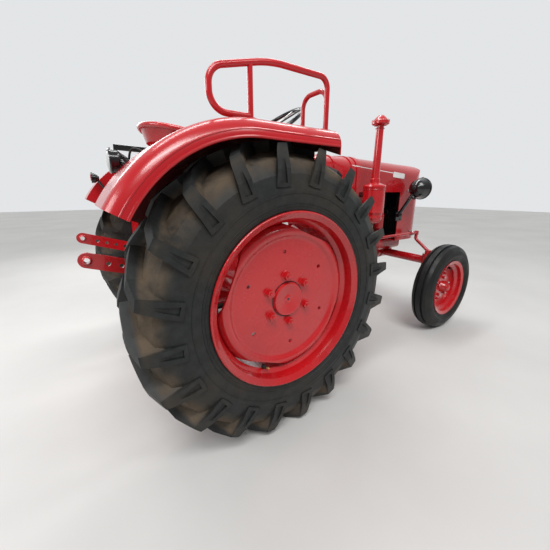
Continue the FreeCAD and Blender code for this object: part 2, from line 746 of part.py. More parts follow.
def rear_disc():
    """Pressed disc with a rolled edge, chord cuts, hub cap, nuts, drum and axle shaft."""
    face = dim.rear_rim_width / 2 - dim.rear_disc_inset
    wall = dim.rear_disc_wall
    edge = dim.rear_well_radius - dim.rear_rim_wall - dim.fit_gap
    flat = dim.rear_disc_flat_radius
    dip = dim.disc_dip_radius
    crest = dim.disc_crest_radius
    rise, fall = 45, 60
    at = (fore(0), dim.rear_wheel_y, dim.rear_axle_z)
    # Outer face: the ridge starts at the flat, turns outward, bends over and falls to the rim
    start = (face + dip * (1 - cosine(rise)), flat + dip * sine(rise))
    end = (start[0] - crest * (cosine(rise) - cosine(fall)),
           start[1] + crest * (sine(rise) + sine(fall)))
    slope = math.tan(math.radians(fall))
    inner_start = (start[0] - wall * cosine(rise), start[1] + wall * sine(rise))
    inner_end = (end[0] - wall * cosine(fall), end[1] - wall * sine(fall))
    hem = inner_end[0] - (edge - inner_end[1]) * slope
    plate = revolve("rear_disc_plate", "YZ_Plane", (
        (face - wall, 0),
        (face, 0),
        (face, flat),
        (start[0], start[1], dip, -1),
        (end[0], end[1], crest, 1),
        (end[0] - (edge - end[1]) * slope, edge),
        (hem, edge),
        inner_end,
        (inner_start[0], inner_start[1], crest - wall, -1),
        (face - wall, flat, dip + wall, 1),
    ), "H_Axis", at)
    centre = (fore(0), dim.rear_axle_z)
    low_y = dim.rear_wheel_y + hem - 10
    span = face - hem + 60
    tools = []
    for copy in range(int(number(dim.disc_cut_count))):
        angle = dim.disc_cut_angle + copy * 360 / number(dim.disc_cut_count)
        block = doc.addObject("Part::Box", f"chord_cut_{copy}")
        bind(block, Length=edge, Width=span, Height=2 * edge)
        along_x, along_z = cosine(angle), sine(angle)
        corner = (
            centre[0] + along_x * dim.disc_cut_distance + along_z * edge,
            low_y,
            centre[1] + along_z * dim.disc_cut_distance - along_x * edge,
        )
        tools.append(place(block, corner, (0, -1, 0), angle))
    holes = ring(dim.rear_stud_count, dim.rear_stud_angle, dim.rear_hole_circle, centre)
    for copy, (x, z) in enumerate(holes):
        tools.append(cylinder(f"disc_hole_{copy}", dim.rear_hole_radius, span, (x, low_y, z), "y"))
    disc = cut("rear_disc_cut", plate, *tools)
    cap = revolve("rear_cap", "YZ_Plane", (
        (face - 2, 0),
        (face + 4, 0),
        (face + 6, 12),
        (face + 3, 20),
        (face + 12, dim.rear_cap_radius - 14),
        (face + 12, dim.rear_cap_radius - 6),
        (face, dim.rear_cap_radius),
        (face - 2, dim.rear_cap_radius),
    ), "H_Axis", at)
    hub = cylinder("rear_hub", dim.rear_hub_radius, 22,
                   (at[0], at[1] + face - wall - 22, at[2]), "y")
    drum_face = dim.rear_wheel_y + face - wall - 21
    drum = cylinder("brake_drum", dim.brake_drum_radius, dim.brake_drum_depth,
                    (at[0], drum_face - dim.brake_drum_depth, at[2]), "y")
    shaft_root = dim.case_half + 60
    shaft = cylinder("rear_shaft", dim.rear_shaft_radius, drum_face - shaft_root,
                     (at[0], shaft_root, at[2]), "y")
    nuts = [
        hexagon(f"rear_nut_{copy}", dim.rear_nut_radius, 24, (x, at[1] + face - 2, z))
        for copy, (x, z) in enumerate(
            ring(dim.rear_stud_count, dim.rear_stud_angle, dim.rear_stud_circle, centre))
    ]
    return fuse("rear_disc_left", disc, cap, hub, drum, shaft, *nuts)


# Front wheels


def front_tyre():
    """Ribbed steering tyre: three ribs with round grooves between them."""
    half = dim.front_tyre_width / 2
    rim_half = dim.front_rim_width / 2
    bead = dim.front_bead_radius + dim.fit_gap
    depth = dim.rib_groove_depth
    top = dim.front_tyre_radius
    groove = dim.rib_groove_width / 2
    # Right half of the section from the bead to the middle rib: (outward, radius)
    side = (
        (rim_half - 8, bead),
        (rim_half + 1, dim.front_flange_radius + 4),
        (half, dim.front_flange_radius + 44),
        (half - 6, top - 44),
        (half - 24, top - 14),
        (dim.rib_groove_y + groove + 2, top - 4),
        (dim.rib_groove_y + groove - 2, top - 3 - depth),
        (dim.rib_groove_y - groove + 2, top - 2 - depth),
        (dim.rib_groove_y - groove - 2, top),
    )
    outline = side + tuple((-out, radius) for out, radius in reversed(side))
    at = (fore(dim.wheelbase), dim.front_wheel_y, dim.front_axle_z)
    return revolve("front_tyre_left", "YZ_Plane", outline, "H_Axis", at)


def front_rim():
    """Stepped rim, deep disc, hub and nuts of a front wheel."""
    half = dim.front_rim_width / 2
    wall = dim.front_rim_wall
    outer = (
        (-half, dim.front_flange_radius),
        (-half + 7, dim.front_bead_radius),
        (-half + 26, dim.front_bead_radius - 2),
        (-half + 36, dim.front_well_radius),
        (half - 46, dim.front_well_radius),
        (half - 32, dim.front_bead_radius - 2),
        (half - 7, dim.front_bead_radius),
        (half, dim.front_flange_radius),
    )
    inner = (
        (half + wall, dim.front_flange_radius),
        (half - 3, dim.front_bead_radius - wall),
        (half - 29, dim.front_bead_radius - 2 - wall),
        (half - 43, dim.front_well_radius - wall),
        (-half + 33, dim.front_well_radius - wall),
        (-half + 23, dim.front_bead_radius - 2 - wall),
        (-half + 3, dim.front_bead_radius - wall),
        (-half - wall, dim.front_flange_radius),
    )
    at = (fore(dim.wheelbase), dim.front_wheel_y, dim.front_axle_z)
    rim = revolve("front_rim_ring", "YZ_Plane", outer + inner, "H_Axis", at)
    face = half - dim.front_disc_inset
    seat = dim.front_well_radius - wall
    bore = dim.spindle_radius + dim.running_gap
    disc = revolve("front_disc", "YZ_Plane", (
        (face - 46, bore),
        (face + dim.front_hub_reach - 14, bore),
        (face + dim.front_hub_reach - 14, 0),
        (face + dim.front_hub_reach, 0),
        (face + dim.front_hub_reach, dim.front_hub_radius - 20),
        (face + dim.front_hub_reach - 12, dim.front_hub_radius - 14),
        (face + 6, dim.front_hub_radius - 4),
        (face + 6, dim.front_stud_circle + 24),
        (face - 10, dim.front_stud_circle + 44),
        (face - 2, seat + 2),
        (face - 8, seat + 2),
        (face - 18, dim.front_stud_circle + 44),
        (face - 2, dim.front_stud_circle + 20),
        (face - 2, dim.front_hub_radius + 34),
        (face - 12, dim.front_hub_radius + 34),
        (face - 12, dim.front_hub_radius),
        (face - 46, dim.front_hub_radius),
    ), "H_Axis", at)
    centre = (at[0], at[2])
    nuts = [
        hexagon(f"front_nut_{copy}", 12, 16, (x, at[1] + face + 4, z))
        for copy, (x, z) in enumerate(
            ring(dim.front_stud_count, 18, dim.front_stud_circle, centre))
    ]
    return fuse("front_rim_left", rim, disc, *nuts)


# Front axle and steering


def front_axle_beam():
    """Tubular beam with a middle boss on the pivot pin and a boss for each kingpin."""
    x = fore(dim.wheelbase)
    middle = cylinder("beam_hub", dim.pivot_boss_radius + 8, dim.beam_hub_length,
                      (x - dim.beam_hub_length / 2, 0, dim.beam_z), "x")
    bore = cylinder("beam_bore", dim.pivot_pin_radius + dim.running_gap,
                    dim.beam_hub_length + 10,
                    (x - dim.beam_hub_length / 2 - 5, 0, dim.beam_z), "x")
    pieces = [middle]
    tools = [bore]
    for side, word in ((1, "left"), (-1, "right")):
        end = Vector(number(x), side * number(dim.kingpin_y), number(dim.beam_end_z))
        start = Vector(number(x), 0, number(dim.beam_z))
        arm = doc.addObject("Part::Feature", f"beam_arm_{word}")
        arm.Shape = Part.makeCylinder(number(dim.beam_radius), (end - start).Length,
                                      start, end - start)
        foot = dim.beam_end_z - dim.kingpin_boss_height / 2
        boss = cylinder(f"kingpin_boss_{word}", dim.kingpin_boss_radius + 12,
                        dim.kingpin_boss_height, (x, side * dim.kingpin_y, foot))
        tools.append(cylinder(f"kingpin_bore_{word}", dim.kingpin_radius + dim.running_gap,
                              dim.kingpin_boss_height + 10,
                              (x, side * dim.kingpin_y, foot - 5)))
        pieces += [arm, boss]
    return cut("front_axle_beam", fuse("beam_whole", *pieces), *tools)


def knuckle():
    """Kingpin, stub axle and the steering arm that rises inward to the drag link."""
    x = fore(dim.wheelbase)
    y = dim.kingpin_y
    boss_top = dim.beam_end_z + dim.kingpin_boss_height / 2
    boss_foot = dim.beam_end_z - dim.kingpin_boss_height / 2
    pin = cylinder("kingpin", dim.kingpin_radius, boss_top - dim.front_axle_z + 30,
                   (x, y, dim.front_axle_z))
    lower = cylinder("knuckle_post", dim.kingpin_boss_radius,
                     boss_foot - dim.running_gap - dim.front_axle_z + 30,
                     (x, y, dim.front_axle_z - 30))
    collar = cylinder("knuckle_collar", dim.kingpin_boss_radius - 4, 28,
                      (x, y, boss_top + dim.running_gap))
    spindle_end = dim.front_wheel_y + dim.front_rim_width / 2 - dim.front_disc_inset + 20
    spindle = cylinder("spindle", dim.spindle_radius, spindle_end - y,
                       (x, y, dim.front_axle_z), "y")
    arm_z = boss_top + dim.running_gap + 14
    ball_y = y - dim.steering_arm_reach
    arm = tube("steering_arm", (
        (x, y, arm_z),
        (x, ball_y, dim.drag_link_z - dim.ball_radius - 36),
        (x, ball_y, dim.drag_link_z - dim.ball_radius - 2),
    ), 13, 20)
    stud = cylinder("steering_stud", 8, dim.ball_radius + 10,
                    (x, ball_y, dim.drag_link_z - dim.ball_radius - 10))
    return fuse("knuckle_left", pin, lower, collar, spindle, arm, stud)


def drag_link():
    """Tube with a socket at the steering arm's ball and an eye beside the drop arm."""
    y = dim.kingpin_y - dim.steering_arm_reach
    front_x = fore(dim.wheelbase)
    rear_x = fore(dim.drop_arm_x)
    rod = cylinder("drag_rod", dim.drag_link_radius, front_x - rear_x,
                   (rear_x, y, dim.drag_link_z), "x")
    front = cylinder("drag_front", dim.ball_radius, 2 * dim.ball_radius,
                     (front_x, y, dim.drag_link_z - dim.ball_radius))
    bore = cylinder("drag_front_bore", 8 + dim.running_gap, 2 * dim.ball_radius - 8,
                    (front_x, y, dim.drag_link_z - dim.ball_radius - 2))
    rear = cylinder("drag_rear", dim.ball_radius, 2 * dim.ball_radius,
                    (rear_x, y - dim.ball_radius, dim.drag_link_z), "y")
    clamp_rear = cylinder("drag_sleeve_rear", dim.drag_link_radius + 4, 60,
                          (rear_x + 40, y, dim.drag_link_z), "x")
    clamp_front = cylinder("drag_sleeve_front", dim.drag_link_radius + 4, 60,
                           (front_x - 100, y, dim.drag_link_z), "x")
    whole = fuse("drag_whole", rod, front, rear, clamp_rear, clamp_front)
    return cut("drag_link_left", whole, bore)


def drop_arm():
    """Arm on the steering box's side shaft, with a stub towards the drag link's eye."""
    x = fore(dim.drop_arm_x)
    eye_y = dim.kingpin_y - dim.steering_arm_reach - dim.ball_radius
    middle_y = eye_y - dim.drop_arm_gap - dim.drop_arm_wall / 2
    top_z = dim.drag_link_z + dim.drop_arm_length
    plate = bar("drop_plate", (x, top_z), (x, dim.drag_link_z), 40, dim.drop_arm_wall,
                middle_y, 22)
    boss = cylinder("drop_boss", dim.drop_shaft_radius + 12, 34,
                    (x, middle_y - 26, top_z), "y")
    stub = cylinder("drop_stub", 9, dim.drop_arm_gap - 2,
                    (x, eye_y - dim.drop_arm_gap, dim.drag_link_z), "y")
    bore = cylinder("drop_bore", dim.drop_shaft_radius + dim.running_gap, 60,
                    (x, middle_y - 40, top_z), "y")
    return cut("drop_arm_left", fuse("drop_whole", plate, boss, stub), bore)


def steering_box():
    """Box on the clutch housing, its side shafts and the column up to the hand wheel."""
    x = fore(dim.drop_arm_x)
    shaft_z = dim.drag_link_z + dim.drop_arm_length
    eye_y = dim.kingpin_y - dim.steering_arm_reach - dim.ball_radius
    shaft_end = eye_y - dim.drop_arm_gap - 1
    shaft = cylinder("drop_shaft", dim.drop_shaft_radius, 2 * shaft_end,
                     (x, -shaft_end, shaft_z), "y")
    casing = rounded_box("steering_casing", (x - 75, -85, dim.bell_top - 20),
                         (x + 55, 85, dim.bell_top + 130), 22)
    lean_x, lean_z = sine(dim.column_lean), cosine(dim.column_lean)
    run = (dim.wheel_hub_z - dim.bell_top - 60) / lean_z
    foot = (fore(dim.wheel_hub_x) + lean_x * run, 0, dim.wheel_hub_z - lean_z * run)
    column = doc.addObject("Part::Cylinder", "column_tube")
    bind(column, Radius=dim.column_radius, Height=run - 62)
    place(column, foot, (0, 1, 0), -dim.column_lean)
    return casing, column, shaft


def hand_wheel():
    """Steering wheel: round rim, three spokes and a domed hub on the column's shaft."""
    at = (fore(dim.wheel_hub_x), 0, dim.wheel_hub_z)
    turn = ((0, 1, 0), -dim.column_lean)
    rim = doc.addObject("Part::Torus", "hand_rim")
    bind(rim, Radius1=dim.hand_wheel_radius, Radius2=dim.hand_rim_radius)
    place(rim, at, *turn)
    hub = doc.addObject("Part::Cone", "hand_hub")
    bind(hub, Radius1=34, Radius2=24, Height=34)
    lean_x, lean_z = sine(dim.column_lean), cosine(dim.column_lean)
    place(hub, (at[0] + lean_x * 22, 0, at[2] - lean_z * 22), *turn)
    shaft = doc.addObject("Part::Cylinder", "hand_shaft")
    bind(shaft, Radius=11, Height=41)
    place(shaft, (at[0] + lean_x * 61, 0, at[2] - lean_z * 61), *turn)
    spokes = []
    for copy in range(int(number(dim.hand_spoke_count))):
        angle = math.radians(90 + 360 / number(dim.hand_spoke_count) * copy)
        flat = Vector(math.cos(angle), math.sin(angle), 0)
        way = FreeCAD.Rotation(Vector(0, 1, 0), -number(dim.column_lean)).multVec(flat)
        spoke = doc.addObject("Part::Feature", f"hand_spoke_{copy}")
        spoke.Shape = Part.makeCylinder(number(dim.hand_spoke_radius),
                                        number(dim.hand_wheel_radius),
                                        Vector(*[number(size) for size in at]), way)
        spokes.append(spoke)
    return fuse("steering_wheel", rim, hub, shaft, *spokes)


# Transmission and engine


def transmission_case():
    """Rear housing with a rounded section, a rear cover and the power take-off's neck."""
    case = rounded_box("case_body", (fore(-dim.case_rear), -dim.case_half, dim.case_bottom),
                       (fore(dim.case_front), dim.case_half, dim.case_top), dim.case_corner)
    cover = rounded_box("case_cover", (fore(-dim.case_rear - 14), -120, dim.case_bottom + 40),
                        (fore(-dim.case_rear), 120, dim.case_top - 40), 30)
    neck = cylinder("pto_neck", 48, 30, (fore(-dim.case_rear - 36), 0, dim.pto_z), "x")
    pin_end = dim.link_y + dim.link_wall / 2 + 14
    pin = cylinder("link_pins", dim.link_pin_radius, 2 * pin_end,
                   (fore(-dim.link_pivot_x), -pin_end, dim.link_pivot_z), "y")
    stop = dim.link_y - dim.link_wall / 2 - 6
    bosses = cylinder("link_pin_bosses", dim.link_pin_radius + 8, 2 * stop,
                      (fore(-dim.link_pivot_x), -stop, dim.link_pivot_z), "y")
    heads = [
        cylinder(f"link_pin_head_{index}", dim.link_pin_radius + 8, 8, (
            fore(-dim.link_pivot_x), y, dim.link_pivot_z), "y")
        for index, y in enumerate((pin_end - 8, -pin_end))
    ]
    return fuse("transmission_case", case, cover, neck, pin, bosses, *heads)


def clutch_housing():
    """Narrow gearbox housing that flares to the bell housing behind the engine."""
    start = fore(dim.case_front) + dim.fit_gap
    narrow = rounded_box("gearbox_body", (start, -dim.clutch_half, dim.clutch_bottom),
                         (fore(dim.bell_start), dim.clutch_half, dim.clutch_top), 30)
    sections = []
    # Sections of the flare: name, x, half width, bottom, top, corner radius
    stations = (
        ("narrow", dim.bell_start, dim.clutch_half, dim.clutch_bottom, dim.clutch_top, 30),
        ("wide", dim.bell_end - 70, dim.bell_half, dim.bell_bottom, dim.bell_top, 60),
    )
    for name, x, half, low, high, radius in stations:
        sketch = doc.addObject("Sketcher::SketchObject", "bell_" + name)
        draw(sketch, rounded_rectangle(-half, low, half, high, radius))
        place(sketch, (fore(x), 0, 0), (1, 1, 1), 120)
        sections.append(sketch)
    flare = doc.addObject("Part::Loft", "bell_flare")
    flare.Sections = sections
    flare.Solid = True
    flare.Ruled = True
    bell = rounded_box("bell_ring", (fore(dim.bell_end - 70), -dim.bell_half, dim.bell_bottom),
                       (fore(dim.bell_end), dim.bell_half, dim.bell_top), 60)
    return fuse("clutch_housing", narrow, flare, bell)


def axle_trumpet():
    """Axle housing: bolted flange, taper, wheel-end flange and brake backing plate."""
    root_y = dim.case_half + dim.fit_gap
    disc_face = dim.rear_wheel_y + dim.rear_rim_width / 2 - dim.rear_disc_inset
    drum_inner = disc_face - dim.rear_disc_wall - 21 - dim.brake_drum_depth
    end_y = drum_inner - dim.brake_gap
    at = (fore(0), 0, dim.rear_axle_z)
    bore = dim.rear_shaft_radius + dim.running_gap
    return revolve("axle_trumpet_left", "YZ_Plane", (
        (root_y, bore),
        (end_y, bore),
        (end_y, dim.brake_drum_radius + 6),
        (end_y - 8, dim.brake_drum_radius + 6),
        (end_y - 8, dim.trumpet_end_radius + 16),
        (end_y - 30, dim.trumpet_end_radius),
        (root_y + dim.trumpet_flange + 24, dim.trumpet_root_radius),
        (root_y + dim.trumpet_flange, dim.trumpet_flange_radius - 8),
        (root_y + dim.trumpet_flange, dim.trumpet_flange_radius),
        (root_y, dim.trumpet_flange_radius),
    ), "H_Axis", at)


def lift_cover():
    """Hydraulic lift housing on the case, bored for the lift shaft, with top link ears."""
    low = dim.case_top + dim.fit_gap
    body = rounded_box("lift_body", (fore(-dim.cover_rear), -dim.lift_cover_half, low),
                       (fore(dim.cover_front), dim.lift_cover_half, dim.lift_cover_top), 26)
    half = dim.lift_cover_half + 30
    boss = cylinder("lift_boss", dim.lift_shaft_radius + 22, 2 * half,
                    (fore(-dim.lift_shaft_x), -half, dim.lift_shaft_z), "y")
    bore = cylinder("lift_bore", dim.lift_shaft_radius + dim.running_gap, 2 * half + 10,
                    (fore(-dim.lift_shaft_x), -half - 5, dim.lift_shaft_z), "y")
    ears = []
    for side in (1, -1):
        inner = dim.top_link_gap / 2
        middle = side * (inner + 7)
        ears.append(bar(f"top_link_ear_{'left' if side > 0 else 'right'}",
                        (fore(-dim.cover_rear + 20), dim.top_link_z + 40),
                        (fore(-dim.cover_rear - 36), dim.top_link_z), 50, 14, middle, 25))
    hole = cylinder("top_link_hole", dim.top_link_bore, dim.top_link_gap + 40,
                    (fore(-dim.cover_rear - 36), -dim.top_link_gap / 2 - 20, dim.top_link_z),
                    "y")
    return cut("lift_cover", fuse("lift_whole", body, boss, *ears), bore, hole)


def engine_block():
    """Closed engine: cylinder block, head, valve cover, sump and pulleys' shafts."""
    rear = fore(dim.bell_end) + dim.fit_gap
    front = fore(engine_front)
    block = box("block_body", (rear, -dim.block_half, dim.block_bottom),
                (front, dim.block_half, dim.block_top))
    head = box("head_body", (rear + 18, -dim.head_half, dim.block_top),
               (front - 18, dim.head_half, dim.head_top))
    gasket = box("head_foot", (rear + 10, -dim.head_half - 10, dim.block_top),
                 (front - 10, dim.head_half + 10, dim.block_top + 18))
    cover = rounded_box("valve_cover", (rear + 40, -dim.cover_half, dim.head_top - 30),
                        (front - 40, dim.cover_half, dim.cover_top), 28)
    sump = pad("sump_body", "YZ_Plane", (
        (-dim.block_half + 4, dim.block_bottom),
        (-dim.sump_half, dim.block_bottom - 20),
        (-dim.sump_half + 20, dim.sump_bottom),
        (dim.sump_half - 20, dim.sump_bottom),
        (dim.sump_half, dim.block_bottom - 20),
        (dim.block_half - 4, dim.block_bottom),
    ), front - rear - 24, (rear + 12, 0, 0))
    pulley = cylinder("crank_pulley", dim.pulley_radius, dim.pulley_length,
                      (front, 0, dim.block_bottom + 20), "x")
    fan_shaft = cylinder("fan_shaft", 16, 28, (front, 0, dim.fan_z), "x")
    return fuse("engine_block", block, head, gasket, cover, sump, pulley, fan_shaft)


def cooling_fan():
    """Four pitched blades and a pulley on the engine's fan shaft."""
    x = fore(engine_front) + 28 + dim.fit_gap
    hub = cylinder("fan_hub", 42, 24, (x, 0, dim.fan_z), "x")
    blades = []
    for copy in range(int(number(dim.fan_blade_count))):
        blade = Part.makeBox(4, 78, number(dim.fan_radius) - 30, Vector(-2, -39, 30))
        blade.rotate(Vector(0, 0, 0), Vector(0, 0, 1), 24)
        blade.rotate(Vector(0, 0, 0), Vector(1, 0, 0), 360 / number(dim.fan_blade_count) * copy)
        blades.append(blade)
    wings = doc.addObject("Part::Feature", "fan_blades")
    wings.Shape = Part.makeCompound(blades)
    place(wings, (x + 12, 0, dim.fan_z))
    return fuse("cooling_fan", hub, wings)


def exhaust():
    """Manifold on the left of the head, and a pipe that leaves below with a silencer."""
    y = dim.head_half + 38
    z = dim.block_top + 76
    front = fore(engine_front) - 60
    rear = fore(dim.bell_end) + 70
    log = cylinder("manifold_log", dim.manifold_radius, front - rear, (rear, y, z), "x")
    pieces = [log]
    pitch = (front - rear) / dim.cylinder_count
    for copy in range(int(number(dim.cylinder_count))):
        x = rear + pitch * (copy + 0.5)
        pieces.append(cylinder(f"exhaust_port_{copy}", 21, 38 - dim.fit_gap,
                               (x, dim.head_half + dim.fit_gap, z), "y"))
    low = dim.clutch_bottom - 62
    out = dim.bell_half + 46
    pieces.append(tube("exhaust_down", (
        (rear + 30, y, z),
        (rear + 30, out, z - 60),
        (rear + 30, out, low),
        (fore(120), out, low),
    ), dim.exhaust_radius, 50, 50))
    pieces.append(cylinder("silencer", dim.silencer_radius, 330, (fore(290), out, low), "x"))
    hanger_x = fore(dim.exhaust_hanger_x)
    hanger = box("exhaust_hanger", (hanger_x, dim.clutch_half + dim.fit_gap, low - 4),
                 (hanger_x + 30, out, low + 4))
    post = box("exhaust_post", (hanger_x, dim.clutch_half + dim.fit_gap, low - 4),
               (hanger_x + 30, dim.clutch_half + 8, dim.clutch_bottom + 70))
    return fuse("exhaust_pipe", *pieces, hanger, post)


# Front end and bodywork


def front_bolster():
    """Casting in front of the engine that carries the radiator and the axle's pivot."""
    rear = fore(engine_front) + dim.fit_gap
    front = fore(bolster_front)
    x = fore(dim.wheelbase)
    gap = 4
    plate = rounded_box("bolster_plate", (rear, -dim.block_half + 10, dim.block_bottom + 100),
                        (rear + 22, dim.block_half - 10, dim.bolster_top), 20)
    rail = rounded_box("bolster_rail", (rear, -dim.bolster_half, dim.bolster_bottom),
                       (front, dim.bolster_half, dim.bolster_top), 40)
    half = dim.beam_hub_length / 2 + gap
    hangers = [
        box(f"pivot_hanger_{index}", (x + low, -dim.pivot_boss_radius, dim.beam_z),
            (x + high, dim.pivot_boss_radius, dim.bolster_bottom + 10))
        for index, (low, high) in enumerate(((-half - 42, -half), (half, half + 42)))
    ]
    bosses = [
        cylinder(f"pivot_boss_{index}", dim.pivot_boss_radius, 42, (x + low, 0, dim.beam_z), "x")
        for index, low in enumerate((-half - 42, half))
    ]
    pin = cylinder("pivot_pin", dim.pivot_pin_radius, 2 * half + 84,
                   (x - half - 42, 0, dim.beam_z), "x")
    saddle = cylinder("beam_room", dim.pivot_boss_radius + 14, 2 * half, (x - half, 0, dim.beam_z),
                      "x")
    relief = cylinder("pulley_room", dim.pulley_radius + 6, dim.pulley_length + 6,
                      (fore(engine_front), 0, dim.block_bottom + 20), "x")
    casting = cut("bolster_cut", fuse("bolster_whole", plate, rail), saddle, relief)
    return fuse("front_bolster", casting, *hangers, *bosses, pin)


def hood_section(inset, low):
    """Cross-section of the hood at its rear edge, as (y, z)."""
    half = dim.hood_half - inset
    radius = dim.hood_shoulder - inset
    top = dim.hood_top - inset
    return (
        (half, low),
        (half, top - 12 - radius),
        (half - radius, top - 12, radius, 1),
        (-half + radius, top - 12, 1000, 1),
        (-half, top - 12 - radius, radius, 1),
        (-half, low),
    )


def nose_plan(inset, rear):
    """Plan of the hood and nose, as (x, y)."""
    half = dim.hood_half - inset
    radius = dim.nose_corner - inset
    tip = fore(nose_tip) - inset - 22
    return (
        (rear, -half),
        (tip - radius, -half),
        (tip, -half + radius, radius, 1),
        (tip, half - radius, 180, 1),
        (tip - radius, half, radius, 1),
        (rear, half),
    )


def hood_block(name, inset):
    """Arch, plan and side outline of the hood, and what the three have in common."""
    rear = fore(dim.hood_rear)
    front = fore(nose_tip) + 20
    high = dim.hood_top + 60
    low = dim.hood_bottom - 40
    arch = pad(name + "_arch", "YZ_Plane", hood_section(inset, low - 200), front - rear + 40,
               (0, 0, 0))
    slope = dim.hood_fall
    lift = dim.hood_top - dim.hood_top * cosine(slope)
    shift = dim.hood_top * sine(slope)
    place(arch, (rear - shift - 4, 0, lift), (0, 1, 0), slope)
    plan = pad(name + "_plan", "XY_Plane", nose_plan(inset, rear), high - low, (0, 0, low))
    brow = dim.nose_brow - inset
    tip = fore(nose_tip) - inset
    fall = (nose_tip - dim.hood_rear) * sine(slope)
    top = dim.hood_top - fall - inset
    side = pad(name + "_side", "XZ_Plane", (
        (rear - 20, low),
        (tip, low),
        (tip, top - brow),
        (tip - brow, top, brow, 1),
        (tip - brow, high),
        (rear - 20, high),
    ), 2 * dim.hood_half + 40, (0, 0, 0), both_ways=True)
    return common(name, arch, plan, side)


def hood():
    """Pressed hood: a shell between two sets of the same three outlines."""
    shell = cut("hood_shell", hood_block("hood_outer", 0),
                hood_block("hood_inner", dim.sheet_wall))
    front = fore(nose_tip) + 30
    below = box("hood_below", (fore(dim.hood_rear) - 60, -dim.hood_half - 20, 700),
                (front, dim.hood_half + 20, dim.hood_bottom))
    mouth = box("hood_mouth", (fore(nose_tip) - 150, -dim.grille_half, dim.hood_bottom - 20),
                (front, dim.grille_half, dim.grille_top))
    return cut("hood", shell, below, mouth)


def nose_shell():
    """Lower front surround, open behind and in front, with a floor on the bolster."""
    rear = fore(shell_rear)
    low = dim.bolster_top + dim.fit_gap
    top = dim.hood_bottom - dim.fit_gap
    wall = dim.sheet_wall
    outer = pad("shell_outer", "XY_Plane", nose_plan(0, rear), top - low, (0, 0, low))
    inner = pad("shell_inner", "XY_Plane", nose_plan(wall, rear - 10), top - low + 20,
                (0, 0, low + wall))
    mouth = box("shell_mouth",
                (fore(nose_tip) - 150, -dim.grille_half, dim.grille_bottom),
                (fore(nose_tip) + 30, dim.grille_half, top + 10))
    return cut("nose_shell", outer, inner, mouth)


def grille():
    """Curved grille behind the mouth: a strip with upright slots between its bars."""
    wall = dim.sheet_wall
    gap = dim.fit_gap
    rear = fore(nose_tip) - 210
    low = dim.grille_bottom - 20
    high = dim.grille_top + 12
    outer = pad("grille_outer", "XY_Plane", nose_plan(wall + gap, rear), high - low, (0, 0, low))
    inner = pad("grille_inner", "XY_Plane", nose_plan(wall + gap + 8, rear - 10),
                high - low + 20, (0, 0, low - 10))
    window = box("grille_window", (fore(nose_tip) - 90, -dim.grille_half - 24, low),
                 (fore(nose_tip) + 30, dim.grille_half + 24, high))
    strip = common("grille_strip", cut("grille_wall", outer, inner), window)
    pitch = 2 * dim.grille_half / dim.grille_bar_count
    slots = [
        box(f"grille_slot_{copy}",
            (fore(nose_tip) - 120,
             -dim.grille_half + pitch * (copy + 0.5) - dim.grille_slot / 2,
             dim.grille_bottom + 14),
            (fore(nose_tip) + 40,
             -dim.grille_half + pitch * (copy + 0.5) + dim.grille_slot / 2,
             dim.grille_top - 14))
        for copy in range(int(number(dim.grille_bar_count)))
    ]
    return cut("grille", strip, *slots)


def radiator():
    """Core with a top and a bottom tank, on the front bolster."""
    front = fore(radiator_front)
    rear = front - dim.radiator_depth
    low = dim.bolster_top + dim.sheet_wall + 2 * dim.fit_gap
    half = dim.radiator_half
    core = box("radiator_core", (rear + 12, -half + 12, low), (front - 12, half - 12,
                                                              dim.radiator_top))
    bottom = rounded_box("radiator_foot", (rear, -half, low), (front, half, low + 60), 10)
    top = rounded_box("radiator_head", (rear, -half, dim.radiator_top - 80),
                      (front, half, dim.radiator_top), 30)
    neck = cylinder("radiator_neck", 30, 34,
                    (front - dim.radiator_depth / 2, 0, dim.radiator_top - 4))
    return fuse("radiator", core, bottom, top, neck)


def cowl():
    """Cowl between the dash panel and the hood, with its raised bands."""
    rear = fore(dim.cowl_rear)
    front = fore(dim.hood_rear) - dim.fit_gap
    low = dim.cowl_bottom
    length = front - rear
    outer = pad("cowl_outer", "YZ_Plane", hood_section(0, low), length, (rear, 0, 0))
    inner = pad("cowl_inner", "YZ_Plane", hood_section(dim.sheet_wall, low - 10), length,
                (rear + dim.sheet_wall, 0, 0))
    bands = []
    for index, (start, width) in enumerate(((length - 34, 34), (length - 90, 28), (146, 14))):
        band = pad(f"cowl_band_{index}", "YZ_Plane", hood_section(-dim.cowl_band, low), width,
                   (rear + start, 0, 0))
        bands.append(band)
    return cut("cowl_shell", fuse("cowl_whole", outer, *bands), inner)


